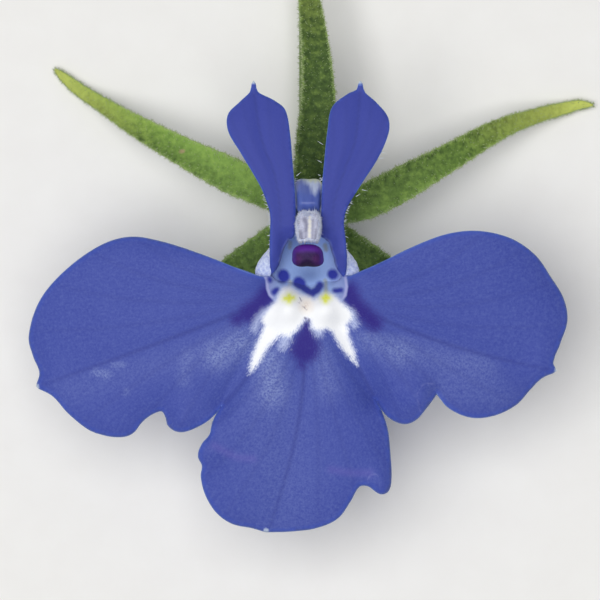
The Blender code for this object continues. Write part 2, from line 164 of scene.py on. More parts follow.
# Spots and stripes, each the run of its middle line and its half width. A negative one is only soft.
SPOTS = {
    "teeth": (
        (((-1.40, -1.56), (-1.64, -1.80), (-1.76, -2.14)), 0.08), (((-0.62, -2.20), (-0.80, -2.66)), 0.14),
        (((0.28, -2.08), (0.38, -2.24)), 0.13), (((1.46, -1.60), (1.56, -1.84), (1.58, -2.00)), 0.10),
    ),
    "spots": (
        (((-0.82, -0.36), (-0.80, -0.40)), 0.20), (((0.86, -0.32), (0.88, -0.34)), 0.17),
        (((-0.30, -0.60), (-0.24, -0.64)), 0.19), (((-0.20, -0.70), (0.04, -0.88), (0.16, -0.96)), 0.12),
        (((0.14, -0.94), (0.32, -0.84), (0.43, -0.68)), 0.12), (((-1.26, -0.46), (-1.24, -0.52)), 0.07),
        (((-1.10, -0.90), (-1.02, -0.84)), 0.10), (((0.92, -0.86), (1.12, -0.84)), 0.08),
    ),
    "specks": (
        (((-0.08, -1.76), (-0.05, -1.78)), 0.03), (((0.05, -1.80), (0.06, -1.86)), 0.025),
        (((-0.05, -1.96), (-0.04, -1.98)), 0.02), (((-0.14, -1.38), (-0.02, -1.50)), 0.012),
        (((-0.26, -1.08), (-0.20, -1.20)), 0.015), (((-0.28, -1.26), (-0.25, -1.28)), 0.012),
    ),
    "yellow": (
        (((-0.74, -1.12), (-0.48, -1.10)), 0.05), (((-0.61, -1.02), (-0.61, -1.20)), 0.05),
        (((0.54, -1.10), (0.70, -1.10)), 0.05), (((0.62, -1.02), (0.61, -1.20)), 0.05),
    ),
    "olive": (
        (((-0.62, -0.54), (-0.52, -0.62), (-0.60, -0.70)), 0.05), (((0.61, -0.54), (0.62, -0.90)), 0.06),
        (((0.61, 0.64), (0.64, 0.50)), 0.07), (((-0.58, 0.74), (-0.60, 0.56)), 0.05),
    ),
    "blush": (
        (((-1.30, -0.98), (-1.62, -1.34), (-1.98, -1.62)), 0.17), (((-1.90, -1.58), (-2.36, -1.82)), 0.05),
        (((-0.30, -2.85), (-0.18, -3.35)), -0.04), (((-0.46, -2.75), (-0.50, -3.05)), -0.14),
        (((-1.90, -1.15), (-2.10, -1.30)), -0.16), (((1.40, -0.86), (1.58, -1.30), (1.90, -1.62)), 0.15),
        (((1.76, -1.54), (2.24, -1.92)), 0.13),
    ),
}
FOLD_LINES = (
    ((-3.11, -6.03), (-2.38, -6.40), (-1.81, -6.47)), ((0.79, -6.83), (1.45, -6.94), (2.09, -6.95)),
)
HOOK_FOLDS = (
    ((3.78, -4.88), (3.69, -4.54), (3.70, -4.20), (3.82, -4.02), (4.00, -3.96), (4.22, -3.99)),
    ((2.02, -7.25), (2.08, -7.06), (2.24, -6.98), (2.38, -7.05)),
)
# Lines below the two clefts, darkened along them as painted shade in the creases
GROOVES = (
    ((-1.95, -3.66), (-2.40, -4.24), (-2.84, -4.70)), ((1.67, -3.36), (1.95, -3.90), (2.27, -4.45)),
)

# Painted sheen: from, to, half width and strength. On the side lobes it stops at a ridge.
PAINTED_SHEENS = (
    ((-2.20, -2.55), (-3.00, -3.05), 0.50, 0.58), ((-3.30, -2.80), (-8.00, -4.20), 0.50, 0.10),
    ((-7.10, -3.58), (-6.70, -3.66), 0.14, 0.45), ((-6.50, -3.34), (-6.16, -3.32), 0.09, 0.40),
    ((-6.04, -4.20), (-6.04, -4.28), 0.10, 0.30), ((-4.00, -3.05), (-4.12, -3.90), 0.24, 0.22),
    ((-1.30, -3.00), (-1.16, -4.25), 0.48, 0.58), ((0.45, -2.90), (0.70, -4.10), 0.45, 0.24),
    ((1.90, -2.45), (3.00, -2.85), 0.46, 0.34), ((3.20, -2.90), (5.90, -3.40), 0.50, 0.22),
    ((4.60, -4.10), (6.40, -4.40), 0.60, 0.14), ((-1.30, -5.00), (-0.70, -8.00), 1.40, 0.12),
)
RIDGES = (
    ((-9.00, -4.06), (-8.41, -3.90), (-6.38, -3.07), (-3.88, -2.30), (-1.60, -1.50)),
    (
        (1.60, -2.20), (3.00, -2.25), (4.36, -2.40), (5.42, -2.77), (6.76, -3.37), (7.42, -3.57),
        (8.30, -3.53),
    ),
)

# The pale points of the lip's edge: the side lobes' tips and the middle of the lower edge
LOBE_POINTS = ((-9.05, -4.07), (-1.38, -8.90), (8.34, -3.52))
POINT_RADIUS = 0.08

# Soft marks: how wide they are, and ovals by their middle and their reach to the side and along
RIDGE_WIDTH = 0.16
RING_WIDTH = 0.05
RING_END = -1.25
FOLD_WIDTH = 0.13
HOOK_WIDTH = 0.05
GROOVE_WIDTH = 0.08
PALATE = ((-0.04, -1.34), (0.40, 0.46))
# A spot of painted shade on the right of the throat
THROAT_PAINTED_SHADE = ((1.25, -0.53), (0.14, 0.16))

# Each lobe's base and tip, and how far its midvein bows between them
LOBES = (
    ((-0.60, -0.90), (-9.00, -4.05), 0.06), ((-0.10, -0.90), (-1.30, -8.90), 0.45),
    ((0.60, -0.90), (8.35, -3.55), -0.33),
)
# Where the veins of the middle lobe give way to those of a side lobe: the line's start and its slope
VEIN_BORDERS = ((-0.55, -0.615), (0.62, 0.48))
MIDVEIN_WIDTH = 0.052
MIDVEIN_BASE_WIDTH = 0.03
VEIN_START = 1.2
VEIN_FADE = 0.8
VEIN_END = 1.04
SIDE_VEIN_ANGLES = np.radians((-39, -28, -18, -9, 9, 18, 28, 39))
SIDE_VEIN_WIDTH = 0.07
SIDE_VEIN_STRENGTH = 0.32
SIDE_VEIN_START = 0.55
SIDE_VEIN_SPREAD = 0.09


def on_bloom(points):
    """Places measured from the throat, in millimetres, as places in the frame."""
    return (np.asarray(points, dtype=float) + (0, THROAT_Y, 0)) * MM


def directions(points):
    """The direction of a run of points at each of them."""
    along = np.gradient(points, axis=0)
    return along / np.linalg.norm(along, axis=1)[:, None]


def smooth_run(knots, step):
    """Evenly spaced points along a smooth curve through the knots, in any dimension, end included."""
    knots = np.array(knots, dtype=float)
    along = directions(knots)
    curve = []
    for start, end, out, into in zip(knots[:-1], knots[1:], along[:-1], along[1:]):
        reach = np.linalg.norm(end - start)
        for t in np.linspace(0, 1, 16, endpoint=False):
            curve.append(
                (2 * t**3 - 3 * t**2 + 1) * start + (t**3 - 2 * t**2 + t) * reach * out
                + (3 * t**2 - 2 * t**3) * end + (t**3 - t**2) * reach * into
            )
    curve = np.array(curve + [knots[-1]])
    lengths = np.concatenate(([0], np.cumsum(np.linalg.norm(np.diff(curve, axis=0), axis=1))))
    places = np.linspace(0, lengths[-1], max(2, round(lengths[-1] / step)) + 1)
    return np.column_stack([np.interp(places, lengths, axis) for axis in curve.T])


def gap_to(points, line):
    """Distance on the face from each point to a broken line."""
    line = np.array(line, dtype=float)
    side = np.diff(line, axis=0)
    gaps = []
    for batch in np.array_split(points, len(points) // 400 + 1):
        offset = batch[:, None] - line[:-1]
        share = np.clip((offset * side).sum(2) / (side**2).sum(1), 0, 1)
        gaps.append(np.linalg.norm(offset - share[..., None] * side, axis=2).min(1))
    return np.concatenate(gaps)


def depth_inside(points, loop):
    """How far each point lies inside a closed loop; outside it is negative."""
    loop = np.array(loop, dtype=float)
    inside = np.zeros(len(points), dtype=bool)
    for start, end in zip(loop, np.roll(loop, -1, axis=0)):
        if start[1] == end[1]:
            continue
        crossing = start[0] + (end[0] - start[0]) * (points[:, 1] - start[1]) / (end[1] - start[1])
        spans = (start[1] > points[:, 1]) != (end[1] > points[:, 1])
        inside ^= spans & (points[:, 0] < crossing)
    gap = gap_to(points, np.vstack([loop, loop[:1]]))
    return np.where(inside, gap, -gap)


def bell(gap, width):
    """A soft share: 1 where there is no gap, fading over the width."""
    return np.exp(-((gap / width) ** 2))


def soft_spot(x, y, middle, reach):
    """A soft oval share: 1 in its middle, fading over its reach to the side and along."""
    return bell(x - middle[0], reach[0]) * bell(y - middle[1], reach[1])


def spot_depth(points, spots):
    """How far each point lies inside the nearest of some round-ended spots; outside it is negative."""
    return np.max([half_width - gap_to(points, line) for line, half_width in spots], axis=0)


def lip_height(x, y, depth):
    """The lip droops away from the throat, is creased, lifted and waved, and rolls down at its edge."""
    face = np.column_stack([x, y])
    outward = np.minimum(1, np.hypot(x, y) / CALM_REACH)
    height = LIP_HEIGHT - SIDE_DROOP * x**2 - FRONT_DROOP * np.minimum(y, 0) ** 2
    height -= MARGIN_ROLL * np.exp(-depth / MARGIN_WIDTH) * outward
    height += WAVE_HEIGHT * outward * np.exp(-depth / WAVE_REACH) * np.sin(WAVES_ROUND * np.arctan2(x, -y))
    for line, deep, width in CREASES:
        height -= deep * bell(gap_to(face, line), width)
    for at_x, at_y, lift, width in LIFTS:
        height += lift * bell(np.hypot(x - at_x, y - at_y), width)
    return height


def petal_flow(x, y):
    """Along and across the veins of the lobe that a point is in, and the strength of the veins there."""
    flow = np.zeros((len(x), 3))
    strength = np.zeros(len(x))
    left_edge, right_edge = (start + slope * (-y - 1.0) for start, slope in VEIN_BORDERS)
    lobe_of = np.where(x < left_edge, 0, np.where(x > right_edge, 2, 1))
    for number, (base, tip, bow) in enumerate(LOBES):
        here = lobe_of == number
        axis = np.subtract(tip, base)
        length = np.linalg.norm(axis)
        axis /= length
        offset = np.column_stack([x, y])[here] - base
        along = offset @ axis
        across = offset @ (-axis[1], axis[0]) - bow * np.sin(math.pi * np.clip(along / length, 0, 1))
        reach = np.hypot(along, across)
        angle = np.arctan2(across, along)
        flow[here] = np.column_stack([reach, angle * 3, np.full(len(reach), number * 7.0)])
        fade = np.clip((reach - VEIN_START) / VEIN_FADE, 0, 1)
        fade *= np.clip(VEIN_END - reach / length, 0, 1) ** 0.3
        lines = bell(across, MIDVEIN_WIDTH + MIDVEIN_BASE_WIDTH * (1 - reach / length))
        for side_angle in SIDE_VEIN_ANGLES:
            side_gap = (angle - side_angle * (SIDE_VEIN_START + SIDE_VEIN_SPREAD * reach)) * reach
            lines = np.maximum(lines, SIDE_VEIN_STRENGTH * bell(side_gap, SIDE_VEIN_WIDTH))
        strength[here] = lines * fade
    return flow, strength


def painted_fields(x, y):
    """What is painted on the face: distances in millimetres inside each mark, or soft shares."""
    face = np.column_stack([x, y])
    flow, vein = petal_flow(x, y)
    throat = depth_inside(face, THROAT_PATCH)
    # Painted sheen, where the face catches the light, stopped at the ridges
    painted_sheen = sum(share * bell(gap_to(face, (start, end)), width) for start, end, width, share in PAINTED_SHEENS)
    for ridge in RIDGES:
        above = y - np.interp(x, *zip(*ridge))
        beside = (x > ridge[0][0]) & (x < ridge[-1][0])
        painted_sheen *= np.where(beside, np.clip(0.5 - above / RIDGE_WIDTH, 0, 1), 1)
    folds = np.min([gap_to(face, smooth_run(line, 0.1)) for line in FOLD_LINES], axis=0)
    hooks = np.min([gap_to(face, smooth_run(line, 0.05)) for line in HOOK_FOLDS], axis=0)
    fields = {field: spot_depth(face, spots) for field, spots in SPOTS.items()}
    fields["blush"] = np.maximum(fields["blush"], depth_inside(face, MIDDLE_BLUSH))
    return fields | {
        "flow": flow,
        "vein": vein,
        "throat": throat,
        "ring": bell(throat - RING_WIDTH, RING_WIDTH) * np.clip((y - RING_END) / 0.2, 0, 1),
        "palate": 1.6 * soft_spot(x, y, *PALATE) - 0.6,
        "fangs": depth_inside(face, WHITE_FANGS),
        "painted_sheen": painted_sheen,
        "fold": bell(folds, FOLD_WIDTH),
        "hook": HOOK_WIDTH - hooks,
        # painted shade along the creases below the clefts
        "painted_groove_shade": np.max([bell(gap_to(face, line), GROOVE_WIDTH) for line in GROOVES], axis=0),
        "shade": np.zeros(len(x)),
        # painted shade in the throat
        "painted_shade": 0.45 * soft_spot(x, y, *THROAT_PAINTED_SHADE),
        "tip": np.max([POINT_RADIUS - np.hypot(x - at_x, y - at_y) for at_x, at_y in LOBE_POINTS], axis=0),
    }


def lattice(low, high, spacing):
    """Points of a grid of even triangles over a rectangle."""
    rows = np.arange(low[1], high[1], spacing * math.sqrt(0.75))
    steps = np.arange(low[0], high[0], spacing)
    return np.array([(x + spacing / 2 * (row % 2), y) for row, y in enumerate(rows) for x in steps])


def filled_inside(loop, inner):
    """Triangles over a closed loop and points inside it: corners, faces, and where each corner came from."""
    corners = [Vector(p) for p in (*loop, *inner)]
    flat, _, faces, origins, _, _ = delaunay_2d_cdt(corners, [], [list(range(len(loop)))], 1, 1e-6)
    return np.array([tuple(p) for p in flat]), faces, origins


def paint(mesh, fields):
    """Stores fields as attributes of a mesh's points."""
    for field, values in fields.items():
        kind, key = ("FLOAT_VECTOR", "vector") if np.ndim(values) == 2 else ("FLOAT", "value")
        mesh.attributes.new(field, kind, "POINT").data.foreach_set(key, np.ravel(values).astype(np.float32))


def make_piece(name, points, faces, fields, material):
    """A smooth mesh object from places on the bloom, with its fields as attributes of its points."""
    mesh = bpy.data.meshes.new(name)
    mesh.from_pydata(on_bloom(points).tolist(), [], faces)
    mesh.shade_smooth()
    paint(mesh, fields)
    mesh.materials.append(material)
    piece = bpy.data.objects.new(name, mesh)
    bpy.context.scene.collection.objects.link(piece)
    return piece


def tint(code):
    """An sRGB hex colour as the linear colour that a shader takes."""
    shares = [int(code[place:place + 2], 16) / 255 for place in (1, 3, 5)]
    return (*[s / 12.92 if s <= 0.04045 else ((s + 0.055) / 1.055) ** 2.4 for s in shares], 1.0)


def wire(node, inputs):
    """Sets a node's inputs. Each takes a value, a hex colour, an output, or another node's first output."""
    for name, value in inputs.items():
        if isinstance(name, int):
            socket = node.inputs[name]
        else:
            socket = next(s for s in node.inputs if s.enabled and s.name == name)
        if isinstance(value, bpy.types.Node):
            value = next(s for s in value.outputs if s.enabled)
        if isinstance(value, bpy.types.NodeSocket):
            node.id_data.links.new(value, socket)
        else:
            socket.default_value = tint(value) if isinstance(value, str) else value


def add_node(tree, kind, inputs, **settings):
    """Adds a node with its settings and its inputs."""
    made = tree.nodes.new("ShaderNode" + kind)
    for name, value in settings.items():
        setattr(made, name, value)
    wire(made, inputs)
    return made


def new_surface(name):
    """A material, its node tree and its Principled shader."""
    material = bpy.data.materials.new(name)
    material.use_nodes = True
    tree = material.node_tree
    return material, tree, tree.nodes["Principled BSDF"]


def marked(tree, skin, grain, marks):
    """Lays marks on a skin: field, start, full, how far the grain feathers it, strength and colour."""
    for field, start, full, feather, strength, colour in marks:
        mark = add_node(tree, "Attribute", {}, attribute_name=field).outputs["Fac"]
        edge = add_node(tree, "Math", {0: grain, 1: feather, 2: mark}, operation="MULTIPLY_ADD")
        span = {"From Min": start, "From Max": full, "To Max": strength}
        share = add_node(tree, "MapRange", {"Value": edge, **span})
        skin = add_node(tree, "Mix", {"Factor": share, "A": skin, "B": colour}, data_type="RGBA")
    return skin


# Petal skin of tiny domed cells: matt and velvety, streaked along its veins, with no gloss of its own.
petal_skin, tree, shader = new_surface("papillate petal skin")
flow = add_node(tree, "Attribute", {}, attribute_name="flow").outputs["Vector"]
streak_space = add_node(tree, "Mapping", {"Vector": flow, "Scale": (1.6, 7.0, 1.0)})
streaks = add_node(tree, "TexNoise", {"Vector": streak_space, "Scale": 3.0, "Detail": 4.0, "Roughness": 0.6})
place = add_node(tree, "TexCoord", {}).outputs["Object"]
flecks = add_node(tree, "TexNoise", {"Vector": place, "Scale": 14500.0, "Detail": 2.0, "Roughness": 0.7})
cell_space = add_node(tree, "Mapping", {"Vector": flow, "Scale": (12.0, 20.0, 1.0)})
cells = add_node(tree, "TexNoise", {"Vector": cell_space, "Scale": 1.1, "Detail": 2.0, "Roughness": 0.6})
patches = add_node(tree, "TexNoise", {"Vector": flow, "Scale": 0.7, "Detail": 2.0})
streak = add_node(tree, "Math", {0: streaks, 1: 1.5, 2: -1.5}, operation="MULTIPLY_ADD")
grain = add_node(tree, "Math", {0: cells, 1: 1.5, 2: streak}, operation="MULTIPLY_ADD")
speckled = add_node(tree, "Math", {0: flecks, 1: 2.0, 2: grain}, operation="MULTIPLY_ADD")
skin = add_node(tree, "Mix", {"Factor": patches, "A": "#36449A", "B": "#404EA1"}, data_type="RGBA")
fine = add_node(tree, "MapRange", {"Value": speckled, "From Min": 0.4, "From Max": 1.6, "To Max": 0.46})
skin = add_node(tree, "Mix", {"Factor": fine, "A": skin, "B": "#5967B4"}, data_type="RGBA")
# Painted sheen: pale flecks where the face catches the light
painted_sheen = add_node(tree, "Attribute", {}, attribute_name="painted_sheen").outputs["Fac"]
sheen_share = add_node(tree, "MapRange", {"Value": flecks, "From Min": 0.36, "From Max": 0.66, "To Min": 0.22})
sheen_share = add_node(tree, "Math", {0: sheen_share, 1: painted_sheen}, operation="MULTIPLY")
skin = add_node(tree, "Mix", {"Factor": sheen_share, "A": skin, "B": "#97A6D4"}, data_type="RGBA")
skin = marked(tree, skin, grain, (
    # Painted shade: the upper lobes are painted darker all over
    ("shade", 0.00, 1.00, 0.00, 0.75, "#3B449C"),
    ("vein", 0.00, 1.00, 0.10, 0.82, "#353F8C"),
    # Painted shade along the creases below the clefts
    ("painted_groove_shade", 0.00, 1.00, 0.05, 0.65, "#37428F"),
    ("depth", 0.18, 0.05, 0.04, 0.60, "#3F55B4"),
    ("fold", 0.00, 1.00, 0.20, 0.26, "#7264B8"),
    ("hook", 0.00, 0.05, 0.02, 0.30, "#8D92CC"),
    ("blush", -0.30, 0.02, 0.34, 0.98, "#2B1F80"),
    ("depth", 0.045, 0.01, 0.02, 0.45, "#7D9CE0"),
    ("throat", -0.03, 0.03, 0.01, 1.00, "#8A97CE"),
    # Painted light: deep in the throat the skin is painted near white, to light the tube's inside
    ("throat", 0.15, 0.80, 0.10, 1.00, "#AFCCFF"),
    # Painted shade in the throat and on its floor
    ("painted_shade", 0.00, 1.00, 0.20, 1.00, "#6F87BC"),
    ("ring", 0.25, 0.85, 0.25, 0.58, "#B4B3E0"),
    ("olive", -0.05, 0.04, 0.03, 0.65, "#9A9A7E"),
    ("spots", -0.06, 0.05, 0.06, 0.97, "#29319C"),
    ("teeth", -0.14, 0.12, 0.26, 0.80, "#C0CBEE"),
    ("fangs", -0.11, 0.03, 0.16, 0.75, "#C6D0F0"),
    ("fangs", -0.04, 0.10, 0.17, 1.00, "#FBFCFE"),
    ("palate", 0.20, 0.90, 0.60, 0.80, "#F2E8DE"),
    ("palate", 0.98, 1.16, 0.90, 0.50, "#A8866E"),
    ("specks", -0.02, 0.02, 0.05, 0.85, "#3A3060"),
    ("yellow", -0.16, 0.02, 0.12, 0.75, "#F6FAB0"),
    ("yellow", -0.05, 0.05, 0.10, 1.00, "#F1F534"),
    ("tip", -0.04, 0.04, 0.03, 0.90, "#D4E2EE"),
))
domes = add_node(tree, "Bump", {"Height": cells, "Strength": 0.35, "Distance": 0.00003})
wire(shader, {"Base Color": skin, "Normal": domes, "Roughness": 0.62, "Specular IOR Level": 0.22})
wire(shader, {"Sheen Weight": 0.06, "Sheen Roughness": 0.5})

# The outer skin of the petals and the tube: paler and duller, with its veins standing out.
petal_back, tree, shader = new_surface("pale petal back")
flow = add_node(tree, "Attribute", {}, attribute_name="flow").outputs["Vector"]
streak_space = add_node(tree, "Mapping", {"Vector": flow, "Scale": (0.9, 5.0, 1.0)})
streaks = add_node(tree, "TexNoise", {"Vector": streak_space, "Scale": 3.0, "Detail": 4.0})
skin = add_node(tree, "Mix", {"Factor": streaks, "A": "#6E79BC", "B": "#8F99CE"}, data_type="RGBA")
place = add_node(tree, "TexCoord", {}).outputs["Object"]
freckles = add_node(tree, "TexNoise", {"Vector": place, "Scale": 9000.0, "Detail": 2.0, "Roughness": 0.7})
freckled = add_node(tree, "MapRange", {"Value": freckles, "From Min": 0.35, "From Max": 0.65})
tube_tone = add_node(tree, "Mix", {"Factor": freckled, "A": "#A8B4E2", "B": "#D9E3F8"}, data_type="RGBA")
skin = marked(tree, skin, streaks, (
    ("vein", 0.00, 0.80, 0.00, 0.60, "#4E58A6"), ("tube", 0.00, 1.00, 0.00, 0.95, tube_tone),
))
wire(shader, {"Base Color": skin, "Roughness": 0.65, "Specular IOR Level": 0.3})
wire(shader, {"Sheen Weight": 0.1, "Sheen Roughness": 0.5})


def thicken(sheet, thickness):
    """Gives a sheet of petal tissue its thickness, and its outer skin below."""
    sheet.data.materials.append(petal_back)
    solidify = sheet.modifiers.new("Thickness", "SOLIDIFY")
    solidify.thickness = thickness * MM
    solidify.offset = 0
    solidify.material_offset = 1


arc_angles = np.linspace(LIP_HALF_ANGLE, -LIP_HALF_ANGLE, LIP_ARC_POINTS)
throat_arc = np.column_stack([
    THROAT_HALF_WIDTH * np.sin(arc_angles), THROAT_MIDDLE - THROAT_HALF_DEPTH * np.cos(arc_angles)
])
lip_edge = np.concatenate([smooth_run(run, EDGE_STEP)[:-1] for run in LIP_RUNS] + [[LIP_RUNS[-1][-1]]])
lip_loop = np.concatenate([lip_edge, throat_arc])
coarse = lattice(lip_loop.min(0), lip_loop.max(0), LIP_SPACING)
near_throat = (abs(coarse[:, 0]) < THROAT_REACH[0]) & (coarse[:, 1] > THROAT_REACH[1])
fine_grid = lattice((-THROAT_REACH[0], THROAT_REACH[1]), (THROAT_REACH[0], THROAT_TOP), THROAT_SPACING)
inner = np.concatenate([coarse[~near_throat], fine_grid])
room = np.where(np.arange(len(inner)) < (~near_throat).sum(), LIP_SPACING, THROAT_SPACING) * 0.5
inner = inner[depth_inside(inner, lip_loop) > room]
face, lip_faces, origins = filled_inside(lip_loop, inner)
lip_place = {corner: place for place, found in enumerate(origins) for corner in found}
depth = np.maximum(depth_inside(face, lip_loop), 0)
to_throat = gap_to(face, throat_arc)
height = lip_height(face[:, 0], face[:, 1], gap_to(face, lip_edge))
height -= THROAT_ROLL * np.exp(-to_throat / THROAT_ROLL_WIDTH)
lip_points = np.column_stack([face, height])

side_angles = np.linspace(LIP_HALF_ANGLE, math.pi - SLIT_HALF_ANGLE, SIDE_ARC_POINTS + 1)[1:]
tube_angles = np.concatenate([side_angles[::-1], arc_angles, -side_angles])
rim_places = [lip_place[len(lip_edge) + n] for n in range(len(arc_angles))]
rim_heights = height[rim_places]
blend = np.clip((side_angles - LIP_HALF_ANGLE) / RIM_BLEND_ANGLE, 0, 1)
right_side, left_side = (end + (LIP_HEIGHT - RIM_DROP - end) * blend for end in rim_heights[[0, -1]])
rim_heights = np.concatenate([right_side[::-1], rim_heights, left_side])
past_lip = np.clip((abs(tube_angles) - LIP_HALF_ANGLE) / TUCK_ANGLE, 0, 1)
side_limit = THROAT_HALF_WIDTH * math.sin(LIP_HALF_ANGLE) * (1 - past_lip) + TUBE_SIDE * past_lip
side_limit[past_lip == 0] = THROAT_HALF_WIDTH
tube_points = []
# Down the tube it leans back evenly, and narrows most just below the mouth
for v in np.linspace(1, 0, TUBE_ROWS):
    tilt = CALYX_TILT * (1 - v**2.5)
    flare = 0.55 * v**1.3 + 0.45 * v**10
    across = TUBE_HALF_WIDTH + (THROAT_HALF_WIDTH - TUBE_HALF_WIDTH) * flare
    deep = TUBE_HALF_WIDTH + (THROAT_HALF_DEPTH - TUBE_HALF_WIDTH) * flare
    middle_y = TUBE_FOOT[0] + (THROAT_MIDDLE - TUBE_FOOT[0]) * v
    middle_z = TUBE_FOOT[1] + (rim_heights - TUBE_FOOT[1]) * v
    swell = SHOULDER_BULGE * bell(abs(tube_angles) - SHOULDER_ANGLE, SHOULDER_SPREAD)
    swell = swell * bell(middle_z - SHOULDER_HEIGHT, SHOULDER_REACH) * min(1, (1 - v) / SHOULDER_START)
    back = -(deep + swell) * np.cos(tube_angles)
    wide = np.minimum(across * abs(np.sin(tube_angles)), side_limit) + swell
    tube_points.append(np.column_stack([
        np.sign(tube_angles) * wide, middle_y + back * math.cos(tilt), middle_z + back * math.sin(tilt)
    ]))
columns = len(tube_angles)
tube_points = np.concatenate(tube_points)
rows = len(lip_points) + np.arange(len(tube_points)).reshape(TUBE_ROWS, columns)
rows[0, len(side_angles):-len(side_angles)] = rim_places
tube_faces = np.stack([rows[:-1, :-1], rows[1:, :-1], rows[1:, 1:], rows[:-1, 1:]], axis=-1).reshape(-1, 4)
# The lip's own edge takes the place of the tube's first points along it
keep = np.ones(len(lip_points) + len(tube_points), dtype=bool)
keep[len(lip_points):] = np.isin(len(lip_points) + np.arange(len(tube_points)), rows)
renumber = np.cumsum(keep) - 1
points = np.concatenate([lip_points, tube_points])[keep]
faces = [tuple(renumber[list(corners)].tolist()) for corners in (*lip_faces, *tube_faces)]
lip = make_piece("lip_and_tube", points, faces, {}, petal_skin)
normals = np.zeros(3 * len(points))
lip.data.vertices.foreach_get("normal", normals)
upper_skin = points + normals.reshape(-1, 3) * LIP_THICKNESS / 2
fields = painted_fields(upper_skin[:, 0], upper_skin[:, 1])
fields["depth"] = np.concatenate([depth, np.full(len(tube_points), FAR_INSIDE)])[keep]
tube_share = np.exp(-to_throat / TUBE_COLOUR_REACH)
fields["tube"] = np.concatenate([tube_share, np.ones(len(tube_points))])[keep]
lip_marks = tuple(fields)
paint(lip.data, fields)
thicken(lip, LIP_THICKNESS)
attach(lip, "root")
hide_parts("corolla")

# ---- Throat floor ----
# Just inside the mouth the tube's front wall is folded in as a soft floor, of the same thin tissue. It is
# grown to the wall all round, and slopes down towards the back, where the column comes through the slit.

FLOOR_HEIGHT = 6.25
FLOOR_SLOPE = 0.45
FLOOR_HOLLOW = 0.25
FLOOR_THICKNESS = 0.1
FLOOR_SPACING = 0.06
FLOOR_SHADE = ((0.08, -0.38), (0.50, 0.30))
FLOOR_PAINTED_SHADE = 0.27
FLOOR_SIDE_PAINTED_SHADE = 0.18
FLOOR_FRONT_PAINTED_SHADE = 0.66


def floor_height(x, y):
    """The floor falls evenly to the back and rises a little to both sides."""
    return FLOOR_HEIGHT - FLOOR_SLOPE * (y + 1) + FLOOR_HOLLOW * x**2


floor_loop = []
for wall in tube_points.reshape(TUBE_ROWS, columns, 3).transpose(1, 0, 2):
    above = wall[:, 2] - floor_height(wall[:, 0], wall[:, 1])
    lower = int(np.argmax(above < 0))
    share = above[lower - 1] / (above[lower - 1] - above[lower])
    floor_loop.append((wall[lower - 1] + (wall[lower] - wall[lower - 1]) * share)[:2])
floor_loop = np.array(floor_loop)
inner = lattice(floor_loop.min(0), floor_loop.max(0), FLOOR_SPACING)
inner = inner[depth_inside(inner, floor_loop) > FLOOR_SPACING * 0.5]
face, floor_faces, _ = filled_inside(floor_loop, inner)
x, y = face.T
fields = painted_fields(x, y)
# Painted shade lies over the floor's front, and a little more to the left than to the right
fields["painted_shade"] = FLOOR_PAINTED_SHADE - FLOOR_SIDE_PAINTED_SHADE * x + FLOOR_FRONT_PAINTED_SHADE * soft_spot(x, y, *FLOOR_SHADE)
fields["depth"] = np.full(len(face), FAR_INSIDE)
fields["tube"] = np.ones(len(face))
floor_points = np.column_stack([face, floor_height(x, y)])
throat_floor = make_piece("throat_floor", floor_points, floor_faces, fields, petal_skin)
thicken(throat_floor, FLOOR_THICKNESS)
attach(throat_floor, "root")
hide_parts("corolla")

# ---- Upper lobes ----
# The two narrow upper lobes of the same tissue stand on either side of the slit. Their inner margins run
# down into the throat, their outer ones onto its rim, and each ends in a small pale point.

